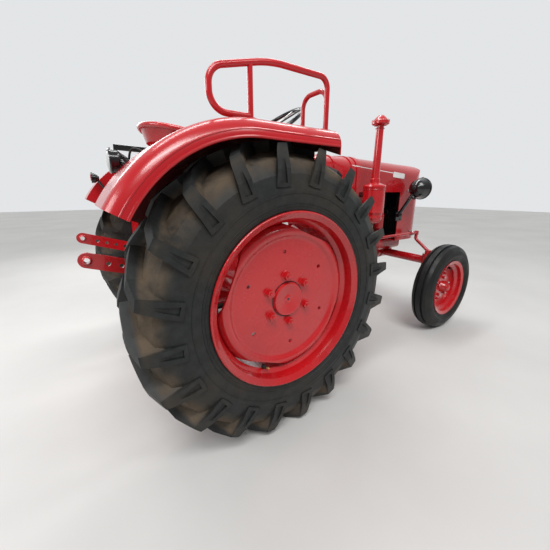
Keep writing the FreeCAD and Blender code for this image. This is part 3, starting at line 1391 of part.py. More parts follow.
def air_cleaner():
    """Oil bath canister with two bands, a bowl, its bracket and the pipe to the head."""
    at = (fore(dim.cleaner_x), -dim.cleaner_y, 0)
    low = dim.cleaner_bottom
    top = dim.cleaner_top
    radius = dim.cleaner_radius
    can = revolve("cleaner_can", "XZ_Plane", (
        (0, low),
        (radius - 34, low),
        (radius - 8, low + 26, 34, 1),
        (radius - 8, low + 68),
        (radius + 2, low + 70),
        (radius + 2, low + 80),
        (radius, low + 82),
        (radius, top - 34),
        (radius + 3, top - 32),
        (radius + 3, top - 22),
        (radius - 4, top - 14),
        (dim.stack_radius + 6, top),
        (0, top),
    ), "V_Axis", at)
    inner_y = -dim.head_half - dim.fit_gap
    pipe_z = dim.head_top - 52
    pipe_x = fore(dim.hood_rear) + 30 + 8
    pipe = cylinder("cleaner_pipe", 30, dim.cleaner_y - dim.head_half - dim.fit_gap,
                    (pipe_x, -dim.cleaner_y, pipe_z), "y")
    flange = box("cleaner_flange", (pipe_x - 40, inner_y - 12, pipe_z - 40),
                 (pipe_x + 40, inner_y, pipe_z + 40))
    stay = box("cleaner_stay", (at[0] - 20, -dim.cleaner_y, low + 30),
               (at[0] + 20, -dim.block_half - dim.fit_gap, low + 36))
    foot = box("cleaner_foot", (at[0] - 40, -dim.block_half - dim.fit_gap - 8, low - 20),
               (at[0] + 40, -dim.block_half - dim.fit_gap, low + 36))
    upright = box("cleaner_upright", (at[0] - 20, -dim.block_half - dim.fit_gap - 8, low - 20),
                  (at[0] + 20, -dim.block_half - dim.fit_gap, low + 36))
    return fuse("air_cleaner", can, pipe, flange, stay, foot, upright)


def intake_stack():
    """Upright pipe on the canister with its round cap."""
    at = (fore(dim.cleaner_x), -dim.cleaner_y, 0)
    low = dim.cleaner_top + dim.fit_gap
    top = dim.cap_top
    stack = dim.stack_radius
    cap = dim.cap_radius
    return revolve("intake_stack", "XZ_Plane", (
        (0, low),
        (stack + 5, low),
        (stack + 5, low + 24),
        (stack, low + 28),
        (stack - 3, dim.stack_top),
        (cap - 12, dim.stack_top - 8),
        (cap, dim.stack_top - 2),
        (cap, dim.stack_top + 14),
        (cap - 10, dim.stack_top + 22),
        (stack + 6, top - 12),
        (stack - 8, top),
        (0, top),
    ), "V_Axis", at)


def fender():
    """One channel section, padded forward and revolved to the rear, and an inner plate."""
    wall = dim.sheet_wall
    inner = dim.fender_inner_y
    outer = dim.fender_outer_y
    crown = dim.fender_radius
    roll = dim.fender_roll
    section = (
        (inner, crown - dim.fender_skirt),
        (inner + wall, crown - dim.fender_skirt),
        (inner + wall, crown - wall),
        (outer - roll, crown - wall),
        (outer - wall, crown - roll, roll - wall, -1),
        (outer, crown - roll),
        (outer - roll, crown, roll, 1),
        (inner, crown),
    )
    at = (fore(-dim.fender_centre_x), 0, dim.fender_centre_z)
    straight = pad("fender_straight", "YZ_Plane", section, dim.fender_flat, at)
    sweep = revolve("fender_arc", "YZ_Plane", section, "H_Axis", at, angle=dim.fender_sweep)
    sweep.Tip.Reversed = True
    back = dim.fender_sweep
    hem = crown - dim.fender_skirt
    cover = hem + 40

    def on_arc(angle, radius):
        return (fore(-dim.fender_centre_x) - sine(angle) * radius,
                dim.fender_centre_z + cosine(angle) * radius)

    front = fore(dim.fender_flat - dim.fender_centre_x)
    plate = pad("fender_plate", "XZ_Plane", (
        on_arc(back, hem),
        (fore(-330), dim.fender_plate_bottom),
        (fore(60), dim.fender_plate_bottom),
        (front, dim.fender_centre_z + hem),
        (front, dim.fender_centre_z + cover),
        on_arc(0, cover),
        on_arc(back / 2, cover),
        on_arc(back, cover),
    ), wall, (0, inner + wall, 0))
    low = dim.rear_axle_z + dim.trumpet_end_radius + 18
    leg = box("fender_leg", (fore(-50), inner + wall, low),
              (fore(50), inner + wall + 8, dim.fender_plate_bottom + 60))
    foot = box("fender_foot", (fore(-50), inner - 50, low), (fore(50), inner + wall + 8, low + 10))
    saddle = box("fender_saddle", (fore(-36), inner - 40, dim.rear_axle_z + 30),
                 (fore(36), inner, low))
    room = cone("fender_room", dim.trumpet_root_radius + dim.fit_gap,
                dim.trumpet_end_radius + dim.fit_gap,
                trumpet_taper_end() - trumpet_taper_start(),
                (fore(0), trumpet_taper_start(), dim.rear_axle_z), "y")
    bracket = cut("fender_bracket", fuse("fender_stand", leg, foot, saddle), room)
    close = pad("fender_front", "YZ_Plane", (
        (inner, dim.fender_centre_z + hem + 40),
        (outer - 90, dim.fender_centre_z + hem + 40),
        (outer, dim.fender_centre_z + hem + 12),
        (outer, fender_top - roll),
        (outer - roll, fender_top, roll, 1),
        (inner, fender_top),
    ), wall, (front - wall, 0, 0))
    return fuse("fender_left", straight, sweep, plate, close, bracket)


def trumpet_taper_start():
    return dim.case_half + dim.fit_gap + dim.trumpet_flange + 24


def trumpet_taper_end():
    disc_face = dim.rear_wheel_y + dim.rear_rim_width / 2 - dim.rear_disc_inset
    drum_inner = disc_face - dim.rear_disc_wall - 21 - dim.brake_drum_depth
    return drum_inner - dim.brake_gap - 30


def handrail():
    """Bent tubes on the right fender: a long loop, a rear post and a front hoop."""
    y = -dim.rail_y
    foot = fender_top + dim.fit_gap
    low_end = rail_top - dim.rail_fall
    loop = tube("rail_long", (
        (fore(-dim.rail_post) - 4, y, rail_return),
        (fore(-dim.rail_loop), y, rail_return),
        (fore(-dim.rail_loop), y, low_end),
        (fore(-dim.rail_fall_start), y, rail_top),
        (fore(dim.rail_front), y, rail_top),
        (fore(dim.rail_front), y, foot),
    ), dim.rail_radius, 60, 64, 500, 40)
    fallen = (dim.rail_post - dim.rail_fall_start) / (dim.rail_loop - dim.rail_fall_start)
    post = cylinder("rail_rear_post", dim.rail_radius - 1,
                    rail_top - dim.rail_fall * fallen - foot, (fore(-dim.rail_post), y, foot))
    hoop_z = rail_top - dim.rail_hoop_drop
    hoop = tube("rail_hoop", (
        (fore(dim.rail_front), y, hoop_z - 80),
        (fore(dim.rail_front), y, hoop_z),
        (fore(dim.rail_front), -dim.rail_inner_y, hoop_z),
        (fore(dim.rail_front), -dim.rail_inner_y, foot),
    ), dim.rail_radius - 1, 50, 50)
    feet = [
        cylinder(f"rail_foot_{index}", dim.rail_radius + 12, 6, (x, foot_y, foot))
        for index, (x, foot_y) in enumerate((
            (fore(-dim.rail_post), y),
            (fore(dim.rail_front), y),
            (fore(dim.rail_front), -dim.rail_inner_y)))
    ]
    return fuse("handrail", loop, post, hoop, *feet)


def seat_pan():
    """Round pressed pan with a rolled rim, tilted back, and its boss below."""
    radius = dim.seat_radius
    depth = dim.seat_depth
    wall = dim.sheet_wall
    at = (fore(-dim.seat_x), 0, dim.seat_rim_z)
    roll = dim.seat_roll
    pan = revolve("seat_dish", "XZ_Plane", (
        (0, -depth),
        (radius * 0.2, -depth),
        (radius * 0.5, -depth + 14),
        (radius * 0.82, -depth * 0.62),
        (radius - 4, -6),
        (radius - 4, 4),
        (radius - 4 - wall, 4),
        (radius - 4 - wall, -4),
        (radius * 0.82 - wall, -depth * 0.62 + wall),
        (radius * 0.5 - 1, -depth + 14 + wall),
        (radius * 0.2, -depth + wall),
        (0, -depth + wall),
    ), "V_Axis", at, turn=((0, 1, 0), dim.seat_tilt))
    rim = doc.addObject("Part::Torus", "seat_rim")
    bind(rim, Radius1=radius, Radius2=roll)
    place(rim, at, (0, 1, 0), dim.seat_tilt)
    return fuse("seat_pan", pan, rim)


def seat_support():
    """Flat spring that curves up from the lift housing to the pan's underside."""
    lean_x, lean_z = sine(dim.seat_tilt), cosine(dim.seat_tilt)
    under_x = fore(-dim.seat_x) - lean_x * dim.seat_depth
    under_z = dim.seat_rim_z - lean_z * dim.seat_depth
    half = dim.seat_bar_wall / 2
    foot = dim.lift_cover_top + dim.fit_gap + half
    front = fore(dim.cover_front)
    low = under_z - 16 - half
    spring = strap("seat_spring", (
        (front - 130, 0, foot),
        (front + 60, 0, foot),
        (front + 10, 0, low),
        (under_x - 30, 0, low),
    ), dim.seat_bar_width, dim.seat_bar_wall, 60, 60)
    block = cylinder("seat_block", 34, under_z + 6 - low, (under_x, 0, low))
    room = doc.addObject("Part::Cylinder", "seat_room")
    bind(room, Radius=90, Height=40)
    place(room, (under_x - lean_x * dim.fit_gap, 0, under_z - lean_z * dim.fit_gap),
          (0, 1, 0), dim.seat_tilt)
    return cut("seat_support", fuse("seat_stand", spring, block), room)


def footplate():
    """Platform between the case and the wheel, with a turned edge and a step bracket."""
    rear = fore(dim.plate_rear)
    front = fore(dim.plate_front)
    inner = dim.bell_half + 6
    low = dim.plate_z
    wall = dim.plate_wall
    outer = dim.plate_outer_y
    plate = box("plate_sheet", (rear, inner, low), (front, outer, low + wall))
    side = box("plate_side", (rear, outer - wall, low), (front, outer, low + dim.plate_rim))
    toe = pad("plate_toe", "XZ_Plane", (
        (front - wall, low),
        (front, low),
        (front + 60, low + 90),
        (front + 54, low + 94),
    ), outer - inner, (0, outer, 0))
    brackets = [
        box(f"plate_bracket_{index}", (rear + reach, dim.clutch_half + dim.fit_gap, low - 40),
            (rear + reach + 40, outer - 20, low))
        for index, reach in enumerate((110, 250))
    ]
    relief = [
        box(f"plate_relief_{index}", (rear + reach - 1, dim.clutch_half + 60, low - 41),
            (rear + reach + 41, outer, low - 12))
        for index, reach in enumerate((110, 250))
    ]
    arms = cut("plate_arms", fuse("plate_arm_pair", *brackets), *relief)
    shaft_x = fore(dim.bell_start - 60)
    slot = box("pedal_slot", (shaft_x - 12, dim.pedal_y - 13, low - 5),
               (shaft_x + 60, dim.pedal_y + 91, low + wall + 5))
    return fuse("footplate_left", cut("plate_slotted", plate, slot), side, toe, arms)


def pedals(name, side, offsets):
    """Pedals on a cross shaft out of one side of the gearbox."""
    shaft_x = fore(dim.bell_start - 60)
    shaft_z = dim.clutch_bottom + 40
    inner = dim.clutch_half + dim.fit_gap
    outer = dim.pedal_y + offsets[-1] + 14
    low, high = (inner, outer) if side > 0 else (-outer, -inner)
    pieces = [cylinder(name + "_shaft", 12, high - low, (shaft_x, low, shaft_z), "y")]
    top = (shaft_x + 96, shaft_z + 256)
    for index, offset in enumerate(offsets):
        y = side * (dim.pedal_y + offset)
        arm = bar(f"{name}_arm_{index}", (shaft_x, shaft_z), top, 26, 12, y, 18)
        tread = box(f"{name}_tread_{index}",
                    (top[0] - 30, y - dim.pedal_width / 2, top[1] + 6),
                    (top[0] + 44, y + dim.pedal_width / 2, top[1] + 16))
        pieces += [arm, tread]
    return fuse(name, *pieces)


def lever(name, x, y, back, side, height):
    """Lever with a rubber boot's cone, a cranked stick and a round knob."""
    foot_z = dim.clutch_top + dim.fit_gap
    boot = cone(name + "_boot", 36, 18, 46, (fore(x), y, foot_z))
    stick = tube(name + "_stick", (
        (fore(x), y, foot_z + 40),
        (fore(x - 10), y, foot_z + height * 0.45),
        (fore(x - back), y + side, foot_z + height),
    ), dim.lever_radius, 120)
    knob = doc.addObject("Part::Sphere", name + "_knob")
    bind(knob, Radius=20)
    place(knob, (fore(x - back), y + side, foot_z + height))
    return fuse(name, boot, stick, knob)


# Rear linkage


def link_place(distance):
    """A place (x, z) on the lower link, by its distance behind the front pin."""
    return (fore(-dim.link_pivot_x) - cosine(dim.link_rise) * distance,
            dim.link_pivot_z + sine(dim.link_rise) * distance)


def lower_link():
    """Flat bar with a pinned front eye, a row of holes and a ball at its rear eye."""
    start = link_place(0)
    end = link_place(dim.link_length)
    plate = bar("link_plate", start, end, dim.link_height, dim.link_wall, dim.link_y,
                dim.link_height / 2)
    ball = doc.addObject("Part::Sphere", "link_ball")
    bind(ball, Radius=dim.link_ball)
    place(ball, (end[0], dim.link_y, end[1]))
    tools = [
        cylinder("link_front_bore", dim.link_pin_radius + dim.running_gap, dim.link_wall + 8,
                 (start[0], dim.link_y - dim.link_wall / 2 - 4, start[1]), "y"),
        cylinder("link_rear_bore", dim.link_bore, 3 * dim.link_ball,
                 (end[0], dim.link_y - 1.5 * dim.link_ball, end[1]), "y"),
    ]
    rod_pin = link_place(dim.rod_station)
    tools.append(cylinder("link_rod_bore", dim.rod_pin_radius + dim.running_gap,
                          dim.link_wall + 8,
                          (rod_pin[0], dim.link_y - dim.link_wall / 2 - 4, rod_pin[1]), "y"))
    for copy, distance in enumerate((340, 390, 440, 490)):
        x, z = link_place(distance)
        tools.append(cylinder(f"link_hole_{copy}", dim.link_hole_radius, dim.link_wall + 8,
                              (x, dim.link_y - dim.link_wall / 2 - 4, z), "y"))
    return cut("lower_link_left", fuse("link_whole", plate, ball), *tools)


def lift_arm_end():
    """The place (x, z) of the pin at the end of a lift arm."""
    return (fore(-dim.lift_shaft_x) - cosine(dim.lift_arm_rise) * dim.lift_arm_length,
            dim.lift_shaft_z + sine(dim.lift_arm_rise) * dim.lift_arm_length)


def lift_rod():
    """Flat rod on a pin through the lower link, up to the lift arm's end."""
    foot = link_place(dim.rod_station)
    head = lift_arm_end()
    plate = bar("rod_plate", foot, head, dim.rod_width, dim.rod_wall, dim.rod_y,
                dim.rod_width / 2 + 3)
    reach = dim.link_y + dim.link_wall / 2 + 12 - dim.rod_y
    pin = cylinder("rod_pin", dim.rod_pin_radius, reach, (foot[0], dim.rod_y, foot[1]), "y")
    gap = dim.link_y - dim.link_wall / 2 - dim.rod_y - dim.rod_wall / 2 - 2
    washer = cylinder("rod_washer", dim.rod_pin_radius + 7, gap,
                      (foot[0], dim.rod_y + dim.rod_wall / 2, foot[1]), "y")
    return fuse("lift_rod_left", plate, pin, washer)


def lift_arms():
    """Cross shaft through the lift housing with an arm at each end."""
    x, z = fore(-dim.lift_shaft_x), dim.lift_shaft_z
    middle_y = dim.rod_y - dim.rod_wall / 2 - dim.lift_arm_gap - dim.lift_arm_wall / 2
    half = middle_y + dim.lift_arm_wall / 2 + 6
    shaft = cylinder("lift_shaft", dim.lift_shaft_radius, 2 * half, (x, -half, z), "y")
    end = lift_arm_end()
    pieces = [shaft]
    for side, word in ((1, "left"), (-1, "right")):
        y = side * middle_y
        pieces.append(bar(f"lift_arm_{word}", (x, z), end, 44, dim.lift_arm_wall, y, 24))
        pieces.append(cylinder(f"lift_hub_{word}", dim.lift_shaft_radius + 14,
                               dim.lift_arm_wall + 12,
                               (x, y - dim.lift_arm_wall / 2 - 6, z), "y"))
        stub_low = y + dim.lift_arm_wall / 2 if side > 0 else (
            y - dim.lift_arm_wall / 2 - dim.lift_arm_gap + 2)
        pieces.append(cylinder(f"lift_stub_{word}", dim.rod_pin_radius, dim.lift_arm_gap - 2,
                               (end[0], stub_low, end[1]), "y"))
    return fuse("lift_arms", *pieces)


def drawbar():
    """Flat bar below the case with a pin hole, a front hanger and a rear hanger."""
    half = dim.drawbar_width / 2
    low = dim.drawbar_z - dim.drawbar_wall / 2
    high = dim.drawbar_z + dim.drawbar_wall / 2
    bar_box = pad("drawbar_bar", "XY_Plane", (
        (fore(120), -half),
        (fore(120), half),
        (fore(-dim.drawbar_rear + dim.drawbar_width / 2), half),
        (fore(-dim.drawbar_rear), 0, half, 1),
        (fore(-dim.drawbar_rear + dim.drawbar_width / 2), -half, half, 1),
    ), dim.drawbar_wall, (0, 0, low))
    hole = cylinder("drawbar_hole", dim.drawbar_bore, dim.drawbar_wall + 10,
                    (fore(-dim.drawbar_rear + dim.drawbar_pin_inset), 0, low - 5))
    top = dim.case_bottom - dim.fit_gap
    hangers = []
    for index, x in enumerate((60, -170)):
        cap = box(f"drawbar_cap_{index}", (fore(x - 25), -70, top - 10), (fore(x + 25), 70, top))
        cheeks = box(f"drawbar_cheek_{index}", (fore(x - 20), -half - 12, low - 10),
                     (fore(x + 20), half + 12, top))
        hangers += [cap, cheeks]
    return cut("drawbar", fuse("drawbar_whole", bar_box, *hangers), hole)


def pto_shaft():
    """Splined stub at the rear of the case under a guard plate."""
    start = fore(-dim.case_rear - 36) - dim.fit_gap
    shaft = cylinder("pto_spline", dim.pto_radius, dim.pto_length,
                     (start - dim.pto_length, 0, dim.pto_z), "x")
    root_x = fore(-dim.case_rear - 14) - dim.fit_gap
    shield = box("pto_shield", (root_x - 100, -80, dim.pto_z + 86),
                 (root_x, 80, dim.pto_z + 90))
    foot = box("pto_foot", (root_x - 4, -80, dim.pto_z + 60), (root_x, 80, dim.pto_z + 90))
    return shaft, fuse("pto_guard", shield, foot)


# Lamps


def headlamp():
    """Bowl lamp on a bent arm from the nose shell's side."""
    at = (fore(headlamp_x), dim.headlamp_y, dim.headlamp_z)
    radius = dim.headlamp_radius
    depth = dim.headlamp_depth
    bowl = revolve("lamp_bowl", "XZ_Plane", (
        (-depth * 0.55, 0),
        (-depth * 0.55, radius * 0.35),
        (-depth * 0.25, radius * 0.82, radius * 1.1, -1),
        (depth * 0.22, radius),
        (depth * 0.36, radius),
        (depth * 0.36, radius - 9),
        (depth * 0.45, 0),
    ), "H_Axis", at)
    foot_y = dim.hood_half + dim.fit_gap
    foot_z = 910
    arm = tube("lamp_arm", (
        (at[0] - 76, foot_y + 18, foot_z),
        (at[0] - 68, foot_y + 36, foot_z + 40),
        (at[0] - 36, at[1] - 14, at[2] - radius * 0.4),
    ), dim.lamp_arm_radius, 30)
    foot = box("lamp_foot", (at[0] - 96, foot_y, foot_z - 50),
               (at[0] - 16, foot_y + 8, foot_z + 30))
    clamp = cylinder("lamp_clamp", dim.lamp_arm_radius + 6, 20,
                     (at[0] - 76, foot_y + 6, foot_z), "y")
    return fuse("headlamp_left", bowl, arm, foot, clamp)


def rear_lamp(name, radius, x, y, z, depth, side):
    """Small bowl lamp that faces the rear, on a plate fixed to the fender's inner panel."""
    panel_y = dim.fender_inner_y - dim.fit_gap
    bowl = revolve(name + "_bowl", "XZ_Plane", (
        (-depth * 0.5, 0),
        (-depth * 0.5, radius - 3),
        (-depth * 0.4, radius),
        (-depth * 0.05, radius),
        (depth * 0.5, radius * 0.4),
        (depth * 0.5, 0),
    ), "H_Axis", (fore(-x), side * y, z))
    stem = tube(name + "_stem", (
        (fore(-x) + 62, side * (panel_y - 8), z - 84),
        (fore(-x) + 6, side * (panel_y - 8), z),
        (fore(-x) + 6, side * (y + 6), z),
    ), 7, 14)
    plate_low, plate_high = (panel_y - 5, panel_y) if side > 0 else (-panel_y, -panel_y + 5)
    plate = box(name + "_plate", (fore(-x) + 40, plate_low, z - 104),
                (fore(-x) + 92, plate_high, z - 60))
    return fuse(name, bowl, stem, plate)


# The sub-parts

node("rear_tyre_left", rear_tyre())
node("rear_rim_left", rear_rim())
node("rear_disc_left", rear_disc())
node("front_tyre_left", front_tyre())
node("front_rim_left", front_rim())
node("knuckle_left", knuckle())
node("drag_link_left", drag_link())
node("drop_arm_left", drop_arm())
node("axle_trumpet_left", axle_trumpet())
node("fender_left", fender())
node("footplate_left", footplate())
node("lower_link_left", lower_link())
node("lift_rod_left", lift_rod())
node("headlamp_left", headlamp())
for piece in list(nodes):
    right = piece.Label.replace("left", "right")
    node(right, mirrored("other_side_of_" + piece.Name, piece))

casing, column, side_shaft = steering_box()
node("transmission_case", transmission_case())
node("clutch_housing", clutch_housing())
node("lift_cover", lift_cover())
node("engine_block", engine_block())
node("cooling_fan", cooling_fan())
node("exhaust_pipe", exhaust())
node("front_bolster", front_bolster())
node("front_axle_beam", front_axle_beam())
node("radiator", radiator())
node("nose_shell", nose_shell())
node("grille", grille())
node("hood", hood())
node("air_cleaner", air_cleaner())
node("intake_stack", intake_stack())
node("handrail", handrail())
node("seat_pan", seat_pan())
node("seat_support", seat_support())
node("clutch_pedal", pedals("clutch_pedal", 1, (0,)))
node("brake_pedals", pedals("brake_pedals", -1, (0, 78)))
# Levers: name, forward of the rear axle, across, lean back, lean across, height
LEVERS = (
    ("gear_lever", dim.gear_lever_x, 0, 90, 20, 400),
    ("range_lever", dim.range_lever_x, -80, 40, -30, 260),
)
for row in LEVERS:
    node(row[0], lever(*row))
node("lift_arms", lift_arms())
node("drawbar", drawbar())
node("steering_wheel", hand_wheel())
node("work_lamp", rear_lamp("work_lamp", dim.work_lamp_radius, dim.work_lamp_x,
                            dim.work_lamp_y, dim.work_lamp_z, 64, -1))
node("tail_lamp", rear_lamp("tail_lamp", dim.tail_lamp_radius, dim.tail_lamp_x,
                            dim.tail_lamp_y, dim.tail_lamp_z, 40, 1))
pto_stub, pto_guard = pto_shaft()
node("pto_shaft", pto_stub)
node("pto_guard", pto_guard)

# The column passes through the dash panel, and the box sits on the bell housing.
cowl_shell = cowl()
column_room = doc.addObject("Part::Cylinder", "column_room")
below_hub = 700
bind(column_room, Radius=dim.column_radius + dim.fit_gap, Height=below_hub + 100)
place(column_room, (fore(dim.wheel_hub_x) + sine(dim.column_lean) * below_hub, 0,
                    dim.wheel_hub_z - cosine(dim.column_lean) * below_hub),
      (0, 1, 0), -dim.column_lean)
node("cowl", cut("cowl", cowl_shell, column_room))
bell = box("bell_room", (fore(dim.bell_start), -dim.bell_half, dim.bell_bottom),
           (fore(dim.bell_end), dim.bell_half, dim.bell_top + dim.fit_gap))
node("steering_box", cut("steering_box", fuse("steering_whole", casing, column, side_shaft),
                         bell))

doc.recompute()
for thing in doc.Objects:
    if "Invalid" in thing.State or "Error" in thing.State:
        raise RuntimeError(f"{thing.Name} did not compute: {thing.State}")
for thing in nodes:
    if thing.Shape.isNull() or not thing.Shape.isValid():
        raise RuntimeError(f"{thing.Label} has no valid shape")

os.makedirs("parts", exist_ok=True)
for thing in nodes:
    thing.Shape.exportStep(f"parts/{thing.Label}.step")
print(f"{len(nodes)} sub-parts written")
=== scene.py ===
"""Finishes and fine pieces of a farm tractor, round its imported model.

Lengths are in metres. +X is forward, +Y is the tractor's left side and +Z is up.
"""

import json
import math

import bpy
from bpy.props import FloatProperty, FloatVectorProperty, PointerProperty
from mathutils import Matrix, Vector


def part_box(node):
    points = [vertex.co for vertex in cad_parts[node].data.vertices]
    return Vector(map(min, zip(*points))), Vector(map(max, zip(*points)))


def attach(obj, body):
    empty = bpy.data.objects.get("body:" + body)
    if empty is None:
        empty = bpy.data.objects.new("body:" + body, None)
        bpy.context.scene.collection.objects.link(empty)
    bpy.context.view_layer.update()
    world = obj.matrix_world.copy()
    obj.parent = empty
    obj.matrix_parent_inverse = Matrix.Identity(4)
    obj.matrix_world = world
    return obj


bl_info = {
    "name": "Farm Tractor Finishes",
    "version": (1, 0, 0),
    "blender": (4, 5, 0),
    "location": "3D View > Sidebar > Tractor",
    "description": "Adds paint, rubber, lamps, nuts and trim to the packed farm tractor",
    "category": "Object",
}

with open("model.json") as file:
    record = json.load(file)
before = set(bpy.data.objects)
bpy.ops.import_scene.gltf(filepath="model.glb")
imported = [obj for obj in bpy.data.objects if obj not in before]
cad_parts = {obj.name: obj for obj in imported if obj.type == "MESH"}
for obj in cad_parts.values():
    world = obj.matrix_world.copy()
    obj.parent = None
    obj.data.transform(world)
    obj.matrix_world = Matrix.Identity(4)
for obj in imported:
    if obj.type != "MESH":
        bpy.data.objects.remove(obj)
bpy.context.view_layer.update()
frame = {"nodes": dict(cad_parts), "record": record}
JOINT_PLACES = {
    joint["name"]: Vector(joint["pos_m"])
    for joint in frame["record"]["behaviour"]["joints"]
    if "pos_m" in joint
}
REAR_HUB = JOINT_PLACES["rear_wheel_right_spin"]
FRONT_HUB = JOINT_PLACES["front_wheel_right_spin"]
REAR_AXLE_X = REAR_HUB.x
SIDES = {"left": 1, "right": -1}


def fore(distance):
    """A place given by its distance in front of the rear axle."""
    return REAR_AXLE_X + distance


# The fender's outline from the side: a flat top, then an arc down behind the wheel
FENDER_FRONT_X = fore(0.217)
FENDER_CENTRE_X, FENDER_CENTRE_Z = fore(-0.150), 0.760
FENDER_SWEEP = math.radians(60)
# The hood: its side's distance from the middle, and the fall of its waistline per metre forward
HOOD_SIDE = 0.2515
WAIST_SLOPE = 0.0735
# The circle of the nuts on a drive wheel's disc
STUD_CIRCLE = 0.107
# Edges that are sharper than this stay sharp when a piece is shaded smooth
SMOOTH_ANGLE = math.radians(35)
UP, DOWN, AHEAD, BACK = (0, 0, 1), (0, 0, -1), (1, 0, 0), (-1, 0, 0)


# Shader building


class Shader:
    """A material's node tree with short names for the nodes that its finishes use."""

    def __init__(self, name):
        self.material = bpy.data.materials.new(name)
        self.material.use_nodes = True
        self.tree = self.material.node_tree
        self.surface = self.tree.nodes["Principled BSDF"]
        self.place = self.node("ShaderNodeTexCoord").outputs["Object"]

    def node(self, kind, **settings):
        made = self.tree.nodes.new(kind)
        for name, value in settings.items():
            setattr(made, name, value)
        return made

    def link(self, value, socket):
        if isinstance(value, bpy.types.NodeSocket):
            self.tree.links.new(value, socket)
        else:
            socket.default_value = value

    def set(self, **sockets):
        for name, value in sockets.items():
            self.link(value, self.surface.inputs[name.replace("_", " ")])

    def noise(self, scale, detail=4.0, roughness=0.55, stretch=(1, 1, 1)):
        mapping = self.node("ShaderNodeMapping")
        mapping.inputs["Scale"].default_value = stretch
        self.link(self.place, mapping.inputs["Vector"])
        texture = self.node("ShaderNodeTexNoise")
        self.link(mapping.outputs["Vector"], texture.inputs["Vector"])
        texture.inputs["Scale"].default_value = scale
        texture.inputs["Detail"].default_value = detail
        texture.inputs["Roughness"].default_value = roughness
        return texture.outputs["Fac"]

    def range(self, value, low, high, to_low=0.0, to_high=1.0):
        """Goes smoothly from to_low to to_high while the value goes from low to high."""
        made = self.node("ShaderNodeMapRange", interpolation_type="SMOOTHSTEP")
        for socket, number in zip(
                ("Value", "From Min", "From Max", "To Min", "To Max"),
                (value, low, high, to_low, to_high)):
            self.link(number, made.inputs[socket])
        return made.outputs["Result"]

    def math(self, operation, first, second=0.0):
        made = self.node("ShaderNodeMath", operation=operation)
        self.link(first, made.inputs[0])
        self.link(second, made.inputs[1])
        return made.outputs["Value"]

    def blend(self, factor, first, second):
        """A colour between two. A Mix node's colours are its inputs 6 and 7 and its output 2."""
        made = self.node("ShaderNodeMix", data_type="RGBA")
        self.link(factor, made.inputs["Factor"])
        self.link(first, made.inputs[6])
        self.link(second, made.inputs[7])
        return made.outputs[2]

    def relief(self, height, distance, strength):
        """Roughens the surface by a height."""
        made = self.node("ShaderNodeBump")
        made.inputs["Strength"].default_value = strength
        made.inputs["Distance"].default_value = distance
        self.link(height, made.inputs["Height"])
        self.set(Normal=made.outputs["Normal"])

    def axes(self, centre):
        """The place's x, y and z counted from a centre."""
        moved = self.node("ShaderNodeVectorMath", operation="SUBTRACT")
        self.link(self.place, moved.inputs[0])
        moved.inputs[1].default_value = centre
        parts = self.node("ShaderNodeSeparateXYZ")
        self.link(moved.outputs["Vector"], parts.inputs["Vector"])
        return parts.outputs["X"], parts.outputs["Y"], parts.outputs["Z"]

    def radius_from(self, hub):
        """Distance from a wheel's axis, and distance from the wheel's middle plane."""
        along, across, up = self.axes((hub.x, 0, hub.z))
        squares = self.math("ADD", self.math("MULTIPLY", along, along),
                            self.math("MULTIPLY", up, up))
        side = self.math("SUBTRACT", self.math("ABSOLUTE", across), abs(hub.y))
        return self.math("SQRT", squares), self.math("ABSOLUTE", side)


def shade(colour, factor):
    """A colour made darker or lighter, with its alpha."""
    return (colour[0] * factor, colour[1] * factor, colour[2] * factor, 1.0)


# Finishes

# Every finish by its name, which the first operator fills in
FINISHES = {}


def gloss_paint(name, colour, dust=0.0):
    """Sprayed enamel: faint colour drift, fine orange peel and thin dust in patches."""
    made = Shader(name)
    drift = made.range(made.noise(2.3), 0.35, 0.7)
    coloured = made.blend(drift, shade(colour, 0.86), shade(colour, 1.06))
    patches = made.range(made.noise(7.0, 6.0, 0.7), 0.56, 0.8, 0.0, 0.03 + dust)
    dusty = made.blend(patches, coloured, (0.30, 0.16, 0.12, 1.0))
    made.set(Base_Color=dusty, Roughness=made.range(made.noise(11.0, 5.0), 0.3, 0.75, 0.2, 0.34),
             Coat_Weight=0.7, Coat_Roughness=0.05)
    made.relief(made.noise(420.0, 2.0), 0.0003, 0.05)
    return made.material


